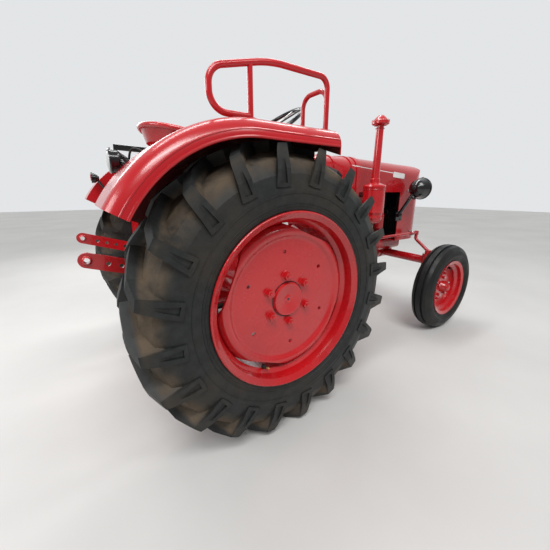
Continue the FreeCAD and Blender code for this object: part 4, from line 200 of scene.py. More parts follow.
def fender_paint_with_shade(name, colour):
    """Body enamel; the underside of the fenders is matte, painted dark as shade, with patches of
    mud.
    """
    made = Shader(name)
    # The fender's section: centre and radius of its rounded shoulder, face of its inner plate
    # and front of the plate that closes it
    shoulder_up, shoulder_aside, shoulder_radius = 0.510, 0.734, 0.0638
    inner_face, closed_from = 0.4495, 0.3685
    along, across, up = made.axes((FENDER_CENTRE_X, 0, FENDER_CENTRE_Z))
    distance = made.math("SQRT", made.math("ADD", made.math("MULTIPLY", along, along),
                                           made.math("MULTIPLY", up, up)))
    behind = made.range(along, 0.0, -0.01)
    arc = made.math("ADD", made.math("MULTIPLY", distance, behind),
                    made.math("MULTIPLY", up, made.math("SUBTRACT", 1.0, behind)))
    aside = made.math("ABSOLUTE", across)
    over = made.math("MAXIMUM", made.math("SUBTRACT", arc, shoulder_up), 0.0)
    beyond = made.math("MAXIMUM", made.math("SUBTRACT", aside, shoulder_aside), 0.0)
    reach = made.math("SQRT", made.math("ADD", made.math("MULTIPLY", over, over),
                                        made.math("MULTIPLY", beyond, beyond)))
    skin = made.math("GREATER_THAN", reach, shoulder_radius)
    inner = made.math("LESS_THAN", aside, inner_face)
    closed = made.math("GREATER_THAN", along, closed_from)
    outside = made.math("MAXIMUM", made.math("MAXIMUM", skin, inner), closed)
    drift = made.range(made.noise(2.3), 0.35, 0.7)
    bright = made.blend(drift, shade(colour, 0.9), shade(colour, 1.06))
    mud = made.range(made.noise(13.0, 7.0, 0.7), 0.42, 0.75, 0.0, 0.55)
    # Painted shade: the underside is the enamel darkened to a fifth, with patches of mud over it
    shade_and_mud = made.blend(mud, shade(colour, 0.22), (0.16, 0.11, 0.08, 1.0))
    made.set(Base_Color=made.blend(outside, shade_and_mud, bright),
             Roughness=made.range(outside, 0.0, 1.0, 0.62, 0.26), Coat_Weight=0.35,
             Coat_Roughness=0.08)
    made.relief(made.noise(420.0, 2.0), 0.0003, 0.05)
    return made.material


def soft_rubber(name):
    """Black hose rubber, slightly chalked."""
    made = Shader(name)
    chalk = made.range(made.noise(30.0, 6.0, 0.65), 0.45, 0.8)
    made.set(Base_Color=made.blend(chalk, (0.012, 0.012, 0.012, 1), (0.045, 0.044, 0.042, 1)),
             Roughness=made.range(made.noise(12.0), 0.3, 0.7, 0.45, 0.65))
    made.relief(made.noise(220.0, 4.0), 0.0004, 0.25)
    return made.material


def satin_black(name):
    """Black enamel with a soft sheen and scuffs."""
    made = Shader(name)
    scuffs = made.range(made.noise(38.0, 8.0, 0.7), 0.55, 0.75)
    made.set(Base_Color=made.blend(scuffs, (0.006, 0.006, 0.007, 1), (0.020, 0.019, 0.018, 1)),
             Roughness=made.range(made.noise(9.0), 0.3, 0.7, 0.14, 0.26), Coat_Weight=0.6)
    made.relief(made.noise(300.0, 2.0), 0.0003, 0.15)
    return made.material


def cast_metal(name, colour, roughness):
    """Rough casting with a pitted skin and oily darker areas."""
    made = Shader(name)
    oil = made.range(made.noise(6.0, 7.0, 0.65), 0.4, 0.65)
    pits = made.noise(170.0, 6.0, 0.7)
    made.set(Base_Color=made.blend(oil, shade(colour, 1.0), shade(colour, 0.45)),
             Roughness=made.range(made.noise(13.0, 5.0), 0.3, 0.7, roughness - 0.12,
                                  roughness + 0.1),
             Specular_IOR_Level=0.45)
    made.relief(pits, 0.0008, 0.35)
    return made.material


def bare_steel(name, colour, roughness):
    """Worn bright steel with fine scratches and a little tarnish."""
    made = Shader(name)
    tarnish = made.range(made.noise(16.0, 8.0, 0.7), 0.45, 0.75)
    scratches = made.noise(90.0, 3.0, 0.6, (1, 12, 1))
    made.set(Base_Color=made.blend(tarnish, shade(colour, 1.0), shade(colour, 0.4)), Metallic=1.0,
             Roughness=made.range(scratches, 0.35, 0.65, roughness - 0.08, roughness + 0.14))
    made.relief(scratches, 0.0002, 0.25)
    return made.material


def drive_tyre(name):
    """Grey rubber, worn smooth on the lugs, with dried dusty earth between them."""
    settings = bpy.context.scene.tractor_tyres
    made = Shader(name)
    radius, aside = made.radius_from(REAR_HUB)
    # Earth lies below the lugs' crowns, inside the shoulders and above the sidewall
    valley = made.range(radius, 0.622, 0.600)
    inward = made.range(aside, 0.150, 0.118)
    floor = made.range(radius, 0.50, 0.56)
    cloud = made.range(made.noise(7.0, 7.0, 0.65), 0.32, 0.62)
    earth = made.math("MULTIPLY", made.math("MULTIPLY", valley, inward),
                      made.math("MULTIPLY", floor, cloud))
    rubber = tuple(settings.rubber_colour)
    soil = tuple(settings.earth_colour)
    grain = made.range(made.noise(26.0, 8.0, 0.7), 0.35, 0.7)
    base = made.blend(grain, shade(rubber, 0.72), shade(rubber, 1.35))
    film = made.range(made.noise(4.0, 6.0, 0.6), 0.45, 0.75, 0.0, 0.45)
    filmed = made.blend(film, base, shade(soil, 0.42))
    strength = made.math("MULTIPLY", earth, settings.earth_amount)
    made.set(Base_Color=made.blend(strength, filmed, shade(soil, 1.0)),
             Roughness=made.range(earth, 0.0, 1.0, 0.52, 0.9), Specular_IOR_Level=0.35)
    made.relief(made.noise(150.0, 6.0, 0.65), 0.0009, 0.4)
    return made.material


def steering_tyre(name):
    """Black rubber with faint dust in the grooves and on the sidewall."""
    settings = bpy.context.scene.tractor_tyres
    made = Shader(name)
    groove = made.range(made.radius_from(FRONT_HUB)[0], 0.341, 0.333)
    film = made.range(made.noise(9.0, 7.0, 0.65), 0.4, 0.8, 0.0, 0.4)
    rubber = tuple(settings.front_rubber_colour)
    soil = tuple(settings.earth_colour)
    dust = made.math("MULTIPLY", groove, film)
    made.set(Base_Color=made.blend(dust, shade(rubber, 1.0), shade(soil, 0.3)),
             Roughness=made.range(made.noise(14.0, 5.0), 0.3, 0.7, 0.4, 0.6),
             Specular_IOR_Level=0.35)
    made.relief(made.noise(190.0, 5.0, 0.6), 0.0006, 0.3)
    return made.material


def plain_white(name):
    """White enamel of the stripe and the blank plate."""
    made = Shader(name)
    made.set(Base_Color=made.blend(made.range(made.noise(30.0, 6.0), 0.5, 0.9),
                                   (0.86, 0.84, 0.82, 1), (0.76, 0.72, 0.69, 1)),
             Roughness=made.range(made.noise(20.0), 0.3, 0.7, 0.25, 0.4))
    return made.material


def lens_glass(name, colour):
    """Moulded lens with upright flutes, tinted where the real one is."""
    made = Shader(name)
    ripple = made.noise(240.0, 1.0, 0.3, (0.1, 1.0, 0.15))
    made.set(Base_Color=made.blend(made.range(made.noise(60.0), 0.3, 0.8), shade(colour, 1.0),
                                   shade(colour, 0.82)),
             Roughness=0.08, Transmission_Weight=0.25, IOR=1.46)
    made.relief(ripple, 0.0012, 0.6)
    return made.material


# Settings


class FinishSettings(bpy.types.PropertyGroup):
    body_colour: FloatVectorProperty(
        name="Body colour", description="Enamel of the bodywork and castings", subtype="COLOR",
        size=3, min=0.0, max=1.0, default=(0.50, 0.007, 0.012))
    wheel_colour: FloatVectorProperty(
        name="Wheel colour", description="Enamel of the rims and discs", subtype="COLOR",
        size=3, min=0.0, max=1.0, default=(0.52, 0.008, 0.012))


class TyreSettings(bpy.types.PropertyGroup):
    rubber_colour: FloatVectorProperty(
        name="Drive tyre rubber", description="Clean rubber of the rear tyres", subtype="COLOR",
        size=3, min=0.0, max=1.0, default=(0.017, 0.019, 0.0185))
    front_rubber_colour: FloatVectorProperty(
        name="Steering tyre rubber", description="Clean rubber of the front tyres",
        subtype="COLOR", size=3, min=0.0, max=1.0, default=(0.009, 0.010, 0.0105))
    earth_colour: FloatVectorProperty(
        name="Dried earth", description="Dust between the lugs", subtype="COLOR",
        size=3, min=0.0, max=1.0, default=(0.135, 0.098, 0.064))
    earth_amount: FloatProperty(
        name="Earth amount", description="How far the dust covers the rubber",
        subtype="FACTOR", min=0.0, max=1.0, default=0.85)


class StageSettings(bpy.types.PropertyGroup):
    floor_size: FloatProperty(
        name="Floor size", description="Side of the floor", subtype="DISTANCE", default=40.0)
    focal_length: FloatProperty(
        name="Focal length", description="Camera lens on a 36 mm sensor", unit="CAMERA",
        default=18.65)
    camera_turn: FloatProperty(
        name="Camera heading", description="Camera's heading from +Y towards +X",
        subtype="ANGLE", default=math.radians(34.13))
    camera_dip: FloatProperty(
        name="Camera dip", description="Camera's angle below the horizon", subtype="ANGLE",
        default=math.radians(16.31))


# Modelling by hand


def deselect():
    bpy.ops.object.select_all(action="DESELECT")


def only(piece):
    """Leaves one piece selected and active."""
    deselect()
    piece.select_set(True)
    bpy.context.view_layer.objects.active = piece


def begin(kind, **settings):
    """Adds a mesh primitive that alone is selected."""
    deselect()
    getattr(bpy.ops.mesh, f"primitive_{kind}_add")(**settings)
    return bpy.context.object


def choose(piece, wanted):
    """Enters edit mode with only the faces that wanted(centre, normal) picks."""
    only(piece)
    bpy.ops.object.mode_set(mode="EDIT")
    bpy.ops.mesh.select_mode(type="FACE")
    bpy.ops.mesh.select_all(action="DESELECT")
    bpy.ops.object.mode_set(mode="OBJECT")
    for face in piece.data.polygons:
        face.select = wanted(face.center, face.normal)
    bpy.ops.object.mode_set(mode="EDIT")


def leave():
    bpy.ops.object.mode_set(mode="OBJECT")


def turned(steps, sides=32):
    """A round piece on +Z: a disc that is extruded and resized through (radius, height)."""
    radius, height = steps[0]
    piece = begin("circle", radius=radius, vertices=sides, fill_type="NGON",
                  location=(0, 0, height))
    bpy.ops.object.transform_apply(location=True, rotation=False, scale=False)
    bpy.ops.object.mode_set(mode="EDIT")
    bpy.ops.mesh.select_all(action="SELECT")
    for next_radius, next_height in steps[1:]:
        bpy.ops.mesh.extrude_region_move(
            TRANSFORM_OT_translate={"value": (0, 0, next_height - height)})
        scale = next_radius / radius
        bpy.ops.transform.resize(value=(scale, scale, 1), center_override=(0, 0, 0))
        radius, height = next_radius, next_height
    bpy.ops.mesh.select_all(action="SELECT")
    bpy.ops.mesh.normals_make_consistent(inside=False)
    leave()
    return piece


def ring(radius, thickness, sides=64, section=8):
    """A round bead on the plane across +Z."""
    piece = begin("torus", major_radius=radius, minor_radius=thickness,
                  major_segments=sides, minor_segments=section)
    choose(piece, lambda centre, normal: normal.z < -0.9)
    bpy.ops.transform.resize(value=(1, 1, 0.6), center_override=(0, 0, 0))
    leave()
    return piece


def block(size, bevel):
    """A box round the origin with rounded edges."""
    piece = begin("cube", size=1)
    piece.scale = size
    bpy.ops.object.transform_apply(location=False, rotation=False, scale=True)
    bpy.ops.object.mode_set(mode="EDIT")
    bpy.ops.mesh.select_all(action="SELECT")
    bpy.ops.mesh.bevel(offset=bevel, segments=2, affect="EDGES")
    leave()
    return piece


def recessed(piece, border, depth):
    """Insets the face on +Z and pushes it in."""
    top = max(corner[2] for corner in piece.bound_box)
    choose(piece, lambda centre, normal: normal.z > 0.95 and centre.z > top - 0.0004)
    bpy.ops.mesh.inset(thickness=border)
    bpy.ops.mesh.extrude_region_move(TRANSFORM_OT_translate={"value": (0, 0, -depth)})
    leave()
    return piece


def pipe(points, radius, section=3):
    """A round bar whose line follows points smoothly, as a mesh with closed ends."""
    deselect()
    bpy.ops.curve.primitive_nurbs_path_add()
    line = bpy.context.object
    line.data.splines.clear()
    spline = line.data.splines.new("NURBS")
    spline.points.add(len(points) - 1)
    for control, place in zip(spline.points, points):
        control.co = (*place, 1)
    spline.order_u = 3
    spline.use_endpoint_u = True
    spline.resolution_u = 6
    line.data.bevel_depth = radius
    line.data.bevel_resolution = section
    line.data.use_fill_caps = True
    bpy.ops.object.convert(target="MESH")
    return bpy.context.object


def stand(piece, at, way=UP, turn=0.0):
    """Stands a piece that was made on +Z at a place, to point a way, turned on itself."""
    aim = Vector(way).to_track_quat("Z", "Y").to_matrix().to_4x4()
    piece.matrix_world = Matrix.Translation(at) @ aim @ Matrix.Rotation(turn, 4, "Z")
    return piece


def joined(pieces):
    """One piece from several, with the first one's origin."""
    only(pieces[0])
    for piece in pieces:
        piece.select_set(True)
    bpy.ops.object.join()
    return bpy.context.object


def repeated(piece, places):
    """Copies of a piece at each (place, way, turn), every copy from its own mesh, in one."""
    copies = []
    for at, way, turn in places:
        copy = piece.copy()
        copy.data = piece.data.copy()
        bpy.context.collection.objects.link(copy)
        copies.append(stand(copy, at, way, turn))
    bpy.data.objects.remove(piece)
    return joined(copies)


def settle(piece, name, material, body="chassis"):
    """Names a finished piece, leaves its place in its mesh, and gives it finish and body."""
    only(piece)
    bpy.ops.object.transform_apply(location=True, rotation=True, scale=True)
    bpy.ops.object.shade_smooth_by_angle(angle=SMOOTH_ANGLE)
    piece.name = name
    piece.data.name = name
    piece.data.materials.clear()
    piece.data.materials.append(FINISHES[material])
    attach(piece, body)


def fitting(name, material, steps, sides, at, way=UP, body="chassis"):
    """Settles a piece turned from its steps, stood at a place to point a way."""
    settle(stand(turned(steps, sides), at, way), name, material, body)


def row(name, material, piece, places, body="chassis"):
    """Settles copies of a piece at every (place, way, turn) as one."""
    settle(repeated(piece, places), name, material, body)


def hex_bolt(radius, height, stud=0.0):
    """Chamfered hexagon on a round washer, with a thread's end where stud is its length."""
    parts = [
        turned(((radius * 1.3, 0), (radius * 1.3, radius * 0.16), (radius * 1.2, radius * 0.2)),
               20),
        turned(((radius * 0.93, radius * 0.18), (radius, radius * 0.3),
                (radius, height * 0.8), (radius * 0.84, height)), 6),
    ]
    if stud:
        core = radius * 0.5
        steps = [(core, height * 0.9)]
        for turn in range(4):
            start = height + stud * turn / 4
            steps += [(core, start), (core * 0.86, start + stud * 0.08),
                      (core, start + stud * 0.16)]
        steps.append((core * 0.75, height + stud))
        parts.append(turned(steps, 12))
    return joined(parts)


def on_circle(hub, side, circle, count, first, y):
    """Places round a wheel's hub that point outward: (place, way, turn)."""
    places = []
    for index in range(count):
        angle = math.radians(first + 360.0 / count * index)
        at = (hub.x + math.cos(angle) * circle, side * y, hub.z + math.sin(angle) * circle)
        places.append((at, (0, side, 0), angle * side))
    return places


# Operators

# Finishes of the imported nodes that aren't in body paint, by how their names start
NODE_FINISHES = {
    "rear_tyre": "drive_tyre",
    "front_tyre": "steering_tyre",
    "rear_rim": "wheel_paint",
    "rear_disc": "wheel_paint",
    "front_rim": "wheel_paint",
    "headlamp": "satin_black",
    "work_lamp": "satin_black",
    "tail_lamp": "satin_black",
    "grille": "satin_black",
    "cooling_fan": "satin_black",
    "radiator": "satin_black",
    "exhaust_pipe": "dark_iron",
    "fender": "fender_paint_with_shade",
    "handrail": "fender_paint_with_shade",
    "steering_wheel": "hand_plastic",
    "pto_shaft": "bright_steel",
    "engine_block": "engine_paint_shaded",
}


class TRACTOR_OT_finishes(bpy.types.Operator):
    """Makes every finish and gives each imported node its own"""

    bl_idname = "tractor.finishes"
    bl_label = "Paint and rubber"
    bl_options = {"REGISTER", "UNDO"}

    def execute(self, context):
        colours = context.scene.tractor_finishes
        body = tuple(colours.body_colour)
        FINISHES.update({
            "body_paint": gloss_paint("body_paint", body),
            # The fenders' finish, with painted shade on their underside
            "fender_paint_with_shade": fender_paint_with_shade("fender_paint_with_shade", body),
            # Painted shade: the engine's enamel is the body colour darkened to 0.72, with a little
            # more dust
            "engine_paint_shaded": gloss_paint("engine_paint_shaded", shade(body, 0.72), 0.12),
            "wheel_paint": gloss_paint("wheel_paint", colours.wheel_colour),
            "satin_black": satin_black("satin_black"),
            "hand_plastic": satin_black("hand_plastic"),
            "black_rubber": soft_rubber("black_rubber"),
            "dark_iron": cast_metal("dark_iron", (0.055, 0.048, 0.044), 0.62),
            "bright_steel": bare_steel("bright_steel", (0.62, 0.61, 0.59), 0.28),
            "brass": bare_steel("brass", (0.62, 0.42, 0.16), 0.34),
            "drive_tyre": drive_tyre("drive_tyre"),
            "steering_tyre": steering_tyre("steering_tyre"),
            "white_enamel": plain_white("white_enamel"),
            "clear_lens": lens_glass("clear_lens", (0.85, 0.86, 0.84)),
            "red_lens": lens_glass("red_lens", (0.55, 0.01, 0.01)),
        })
        for name, node in frame["nodes"].items():
            kinds = [kind for kind in NODE_FINISHES if name.startswith(kind)]
            chosen = FINISHES[NODE_FINISHES[kinds[0]] if kinds else "body_paint"]
            for slot in node.material_slots:
                slot.material = chosen
        return {"FINISHED"}


def on_rim(hub, side, degrees, radius, across, lean):
    """A place on a wheel's rim, and a way that points outward and leans to the hub."""
    along, up = math.cos(math.radians(degrees)), math.sin(math.radians(degrees))
    at = (hub.x + along * radius, side * across, hub.z + up * radius)
    return at, (-along * lean, side, -up * lean)


def sidewall_beads(end, word, hub, beads, sides, material):
    """Raised lines on a tyre's outer wall, each from its radius, place across and thickness."""
    side = SIDES[word]
    for index, (radius, across, thick) in enumerate(beads):
        bead = stand(ring(radius, thick, sides, 6), (hub.x, side * across, hub.z), (0, side, 0))
        settle(bead, f"{end}_sidewall_{index}_{word}", material, f"{end}_wheel_{word}")


class TRACTOR_OT_rear_wheels(bpy.types.Operator):
    """Studs, washers, valves and sidewall beads of the drive wheels, and painted shade at the hub
    caps' lips and centres
    """

    bl_idname = "tractor.rear_wheels"
    bl_label = "Drive wheel details"
    bl_options = {"REGISTER", "UNDO"}

    def execute(self, context):
        for word, side in SIDES.items():
            self.hub(word, side, f"rear_wheel_{word}")
            self.valve(word, side, f"rear_wheel_{word}")
            beads = ((0.398, 0.8030, 0.0016), (0.409, 0.8046, 0.0022), (0.447, 0.8104, 0.0018))
            sidewall_beads("rear", word, REAR_HUB, beads, 128, "drive_tyre")
        return {"FINISHED"}

    def hub(self, word, side, body):
        """Stud ends and washers of the disc's nuts, and black pieces on the hub cap painted as
        shade: a ring at its lip and a plug for its centre hole.
        """
        stud = turned(((0.0078, 0), (0.0078, 0.0022), (0.0066, 0.003), (0.0078, 0.0038),
                       (0.0066, 0.0046), (0.0076, 0.0054), (0.0052, 0.0066)), 14)
        row(f"rear_studs_{word}", "wheel_paint", stud,
            on_circle(REAR_HUB, side, STUD_CIRCLE, 6, 35, 0.7668), body)
        washer = turned(((0.0235, 0), (0.0235, 0.0026), (0.0222, 0.0036), (0.014, 0.0036)), 28)
        row(f"rear_washers_{word}", "wheel_paint", washer,
            on_circle(REAR_HUB, side, STUD_CIRCLE, 6, 35, 0.7448), body)
        # Painted shade: a black ring round the hub cap's lip
        lip_shade = stand(ring(0.0795, 0.0021), (REAR_HUB.x, side * 0.7452, REAR_HUB.z), (0, side, 0))
        settle(lip_shade, f"hub_cap_lip_shade_{word}", "satin_black", body)
        # Painted shade: a black plug standing for the dark hole at the cap's centre
        plug = ((0.0052, 0), (0.0052, 0.0008), (0.0036, 0.0014), (0.0024, 0.0004))
        fitting(f"hub_cap_hole_shade_{word}", "satin_black", plug, 16,
                (REAR_HUB.x, side * 0.7498, REAR_HUB.z), (0, side, 0), body)

    def valve(self, word, side, body):
        """The valve's rubber foot, and its cap."""
        at, way = on_rim(REAR_HUB, side, -113, 0.322, 0.742, 0.25)
        foot = ((0.011, -0.004), (0.010, 0.004), (0.0065, 0.011), (0.006, 0.024), (0.0045, 0.026))
        fitting(f"rear_valve_{word}", "black_rubber", foot, 18, at, way, body)
        cap = ((0.0042, 0.025), (0.0052, 0.026), (0.0052, 0.036), (0.0035, 0.040))
        fitting(f"rear_valve_cap_{word}", "brass", cap, 16, at, way, body)


class TRACTOR_OT_front_wheels(bpy.types.Operator):
    """Hub caps, studs, valves and sidewall beads of the steering wheels"""

    bl_idname = "tractor.front_wheels"
    bl_label = "Steering wheel details"
    bl_options = {"REGISTER", "UNDO"}

    def execute(self, context):
        for word, side in SIDES.items():
            body = f"front_wheel_{word}"
            cap = ((0.0305, -0.010), (0.0315, -0.002), (0.0315, 0.002), (0.028, 0.005),
                   (0.026, 0.013), (0.019, 0.019), (0.009, 0.0215), (0.003, 0.022))
            fitting(f"front_hub_cap_{word}", "wheel_paint", cap, 32,
                    (FRONT_HUB.x, side * 0.6445, FRONT_HUB.z), (0, side, 0), body)
            stud = turned(((0.006, 0), (0.006, 0.002), (0.005, 0.003), (0.006, 0.004),
                           (0.005, 0.005), (0.006, 0.006), (0.004, 0.008)), 12)
            row(f"front_studs_{word}", "bright_steel", stud,
                on_circle(FRONT_HUB, side, 0.076, 5, 18, 0.6215), body)
            valve = ((0.009, -0.006), (0.008, 0.004), (0.005, 0.010), (0.005, 0.022),
                     (0.0036, 0.024))
            at, way = on_rim(FRONT_HUB, side, 60, 0.163, 0.607, 0.3)
            fitting(f"front_valve_{word}", "black_rubber", valve, 16, at, way, body)
            beads = ((0.235, 0.6690, 0.0014), (0.249, 0.6752, 0.0018), (0.287, 0.6797, 0.0014))
            sidewall_beads("front", word, FRONT_HUB, beads, 96, "steering_tyre")
        return {"FINISHED"}


def along_fender(side, y, radius, thickness, name):
    """A bead on a fender: straight along the flat, then spun round the arc's centre."""
    bead = begin("circle", radius=thickness, vertices=10, fill_type="NGON",
                 location=(FENDER_FRONT_X, side * y, FENDER_CENTRE_Z + radius),
                 rotation=(0, math.pi / 2, 0))
    bpy.ops.object.transform_apply(location=True, rotation=True, scale=True)
    bpy.ops.object.mode_set(mode="EDIT")
    bpy.ops.mesh.select_all(action="SELECT")
    flat = FENDER_CENTRE_X - FENDER_FRONT_X
    bpy.ops.mesh.extrude_region_move(TRANSFORM_OT_translate={"value": (flat, 0, 0)})
    bpy.ops.mesh.spin(steps=28, angle=FENDER_SWEEP, axis=(0, 1, 0),
                      center=(FENDER_CENTRE_X, side * y, FENDER_CENTRE_Z))
    bpy.ops.mesh.select_all(action="SELECT")
    bpy.ops.mesh.remove_doubles(threshold=0.0002)
    bpy.ops.mesh.normals_make_consistent(inside=False)
    leave()
    settle(bead, name, "fender_paint_with_shade")


class TRACTOR_OT_fenders(bpy.types.Operator):
    """Rolled edges, pressed crease, ribs and bolts of the fenders"""

    bl_idname = "tractor.fenders"
    bl_label = "Fender edges and bolts"
    bl_options = {"REGISTER", "UNDO"}

    def execute(self, context):
        for word, side in SIDES.items():
            along_fender(side, 0.7975, 0.5105, 0.0055, f"fender_edge_{word}")
            along_fender(side, 0.7950, 0.5330, 0.0036, f"fender_crease_{word}")
            along_fender(side, 0.4500, 0.4645, 0.0045, f"fender_inner_edge_{word}")
            stands = ((-0.035, 0.90), (0.035, 0.90), (-0.035, 0.945), (0.035, 0.945))
            bolts = [((fore(x), side * 0.4600, z), (0, side, 0), 0.3) for x, z in stands]
            plate = ((-0.30, 1.02), (-0.10, 1.10), (0.10, 1.10), (0.17, 1.235))
            bolts += [((fore(x), side * 0.4475, z), (0, -side, 0), 0.1) for x, z in plate]
            row(f"fender_bolts_{word}", "fender_paint_with_shade", hex_bolt(0.0085, 0.007), bolts)
            row(f"fender_ribs_{word}", "fender_paint_with_shade", block((0.012, 0.0035, 0.20), 0.0015),
                [((fore(x), side * 0.4470, 1.02), UP, 0.0) for x in (-0.20, 0.0)])
        return {"FINISHED"}


class TRACTOR_OT_bodywork(bpy.types.Operator):
    """Stripe, blank plate, hinge, catches and screws of the hood, cowl and nose"""

    bl_idname = "tractor.bodywork"
    bl_label = "Hood and nose trim"
    bl_options = {"REGISTER", "UNDO"}

    def execute(self, context):
        for word, side in SIDES.items():
            self.stripe(side, "cowl", 0.912, 0.992, f"cowl_stripe_{word}")
            self.stripe(side, "hood", 0.996, 1.386, f"hood_stripe_{word}")
            self.plate(side, f"blank_plate_{word}")
            catch = joined([block((0.030, 0.014, 0.006), 0.002),
                            stand(turned(((0.006, 0), (0.006, 0.008), (0.004, 0.010)), 16),
                                  (0.008, 0, 0.002))])
            row(f"hood_catches_{word}", "bright_steel", catch,
                [((fore(x), side * HOOD_SIDE, 1.104), (0, side, 0), 0.0) for x in (1.06, 1.62)])
            spots = ((1.530, 0.72), (1.530, 1.06), (1.66, 0.72), (0.61, 1.01), (0.61, 1.20),
                     (0.72, 1.01), (0.86, 1.01))
            row(f"panel_screws_{word}", "body_paint", hex_bolt(0.006, 0.005),
                [((fore(x), side * 0.2510, z), (0, side, 0), 0.4 * index)
                 for index, (x, z) in enumerate(spots)])
        self.hinge()
        return {"FINISHED"}

    def stripe(self, side, node, start, end, name):
        """A white line projected sideways onto a node's skin."""
        strip = begin("plane", size=1, location=(0, 0, 0))
        strip.scale = (end - start, 0.0055, 1)
        bpy.ops.object.transform_apply(location=False, rotation=False, scale=True)
        bpy.ops.object.mode_set(mode="EDIT")
        bpy.ops.mesh.select_all(action="SELECT")
        bpy.ops.mesh.subdivide(number_cuts=24)
        leave()
        middle = (start + end) / 2
        height = 1.269 - (middle - 0.905) * WAIST_SLOPE
        strip.rotation_euler = (math.pi / 2, math.atan(WAIST_SLOPE), 0)
        strip.location = (fore(middle), side * 0.29, height)
        bpy.ops.object.transform_apply(location=True, rotation=True, scale=True)
        wrap = strip.modifiers.new("onto_skin", "SHRINKWRAP")
        wrap.target = frame["nodes"][node]
        wrap.wrap_method = "PROJECT"
        wrap.use_project_y = True
        wrap.use_project_x = wrap.use_project_z = False
        wrap.use_negative_direction = side > 0
        wrap.use_positive_direction = side < 0
        wrap.offset = 0.0007
        bpy.ops.object.modifier_apply(modifier=wrap.name)
        bpy.ops.object.mode_set(mode="EDIT")
        bpy.ops.mesh.select_all(action="SELECT")
        bpy.ops.mesh.normals_make_consistent(inside=False)
        leave()
        if strip.data.polygons[0].normal.y * side < 0:
            strip.data.flip_normals()
        settle(strip, name, "white_enamel")

    def plate(self, side, name):
        """A blank plate with a raised border, upright on the hood's side along its waistline."""
        plate = recessed(block((0.150, 0.040, 0.0035), 0.0012), 0.004, 0.0008)
        upright = Matrix.Rotation(math.radians(-90 * side), 4, "X")
        slope = Matrix.Rotation(math.atan(WAIST_SLOPE), 4, "Y")
        place = Matrix.Translation((fore(1.462), side * HOOD_SIDE, 1.2175))
        plate.matrix_world = place @ slope @ upright
        settle(plate, name, "white_enamel")

    def hinge(self):
        """The hinge's rod along the top of the hood, and its knuckles."""
        rod = pipe(((fore(1.00), 0, 1.3345), (fore(1.35), 0, 1.3245), (fore(1.655), 0, 1.3165)),
                   0.0042)
        settle(rod, "hood_hinge", "body_paint")
        knuckle = turned(((0.0055, 0), (0.0064, 0.002), (0.0064, 0.028), (0.0055, 0.03)), 16)
        row("hood_hinge_knuckles", "body_paint", knuckle,
            [((fore(x), 0, 1.3345 - (x - 1.0) * 0.0275), (1, 0, -0.033), 0.0)
             for x in (1.01, 1.21, 1.41, 1.61)])


class TRACTOR_OT_grille(bpy.types.Operator):
    """Trim and screws above and below the grille's slots"""

    bl_idname = "tractor.grille"
    bl_label = "Grille trim"
    bl_options = {"REGISTER", "UNDO"}

    def execute(self, context):
        # The nose's curve from its middle to its side, as (distance forward, distance aside)
        curve = ((1.8930, 0.012), (1.8860, 0.050), (1.8745, 0.080), (1.8695, 0.120),
                 (1.8600, 0.148))
        trim = []
        for z in (0.750, 1.108):
            right = [(fore(x), -y, z) for x, y in reversed(curve)]
            left = [(fore(x), y, z) for x, y in curve]
            trim.append(pipe(right + left, 0.0042, 2))
        settle(joined(trim), "grille_trim", "satin_black")
        row("grille_screws", "bright_steel", hex_bolt(0.0055, 0.005),
            [((fore(1.8690), side * 0.13, z), (0.955, side * 0.295, 0), 0.5)
             for side in SIDES.values() for z in (0.738, 1.122)])
        return {"FINISHED"}


class TRACTOR_OT_headlamps(bpy.types.Operator):
    """Bezels, lenses, mirrors, cable glands, lugs, screws and nuts of the headlamps"""

    bl_idname = "tractor.headlamps"
    bl_label = "Headlamps"
    bl_options = {"REGISTER", "UNDO"}

    def execute(self, context):
        for word, side in SIDES.items():
            centre = Vector((fore(1.572), side * 0.365, 1.117))
            self.front(word, centre)
            self.bowl(word, side, centre)
            self.mount(word, side)
        return {"FINISHED"}

    def front(self, word, centre):
        bezel = ((0.0790, 0.030), (0.0835, 0.031), (0.0850, 0.036), (0.0842, 0.041),
                 (0.0790, 0.0455), (0.0735, 0.0462), (0.0705, 0.0440), (0.0700, 0.0405))
        fitting(f"headlamp_bezel_{word}", "satin_black", bezel, 64, centre, AHEAD)
        lens = ((0.0712, 0.0440), (0.069, 0.0462), (0.060, 0.0515), (0.045, 0.0560),
                (0.026, 0.0588), (0.008, 0.0598))
        fitting(f"headlamp_lens_{word}", "clear_lens", lens, 64, centre, AHEAD)
        mirror = ((0.0700, 0.0406), (0.0694, 0.0436), (0.045, 0.0422), (0.010, 0.0412))
        fitting(f"headlamp_mirror_{word}", "bright_steel", mirror, 48, centre, AHEAD)

    def bowl(self, word, side, centre):
        """The lead's gland behind the bowl, the rim's clamp screw on top, the lug below."""
        gland = ((0.016, -0.004), (0.016, 0.003), (0.0125, 0.006), (0.0125, 0.012),
                 (0.006, 0.014))
        fitting(f"headlamp_gland_{word}", "black_rubber", gland, 24,
                centre + Vector((-0.0640, 0, 0.006)), BACK)
        screw = stand(hex_bolt(0.0058, 0.006), centre + Vector((0.036, 0, 0.0838)))
        settle(screw, f"headlamp_screw_{word}", "bright_steel")
        lug = ((0.021, 0), (0.021, 0.010), (0.017, 0.014), (0.012, 0.014))
        fitting(f"headlamp_lug_{word}", "satin_black", lug, 24,
                centre + Vector((-0.034, -side * 0.012, -0.066)), (-0.42, -side * 0.12, -0.9))

    def mount(self, word, side):
        """The arm's nut, and the bolts of its foot on the nose shell."""
        nut = stand(hex_bolt(0.011, 0.009, 0.006), (fore(1.496), side * 0.2835, 0.910),
                    (0, side, 0), 0.2)
        settle(nut, f"headlamp_nut_{word}", "satin_black")
        row(f"headlamp_foot_bolts_{word}", "satin_black", hex_bolt(0.007, 0.006),
            [((fore(1.540), side * 0.2585, z), (0, side, 0), 0.3) for z in (0.872, 0.928)])


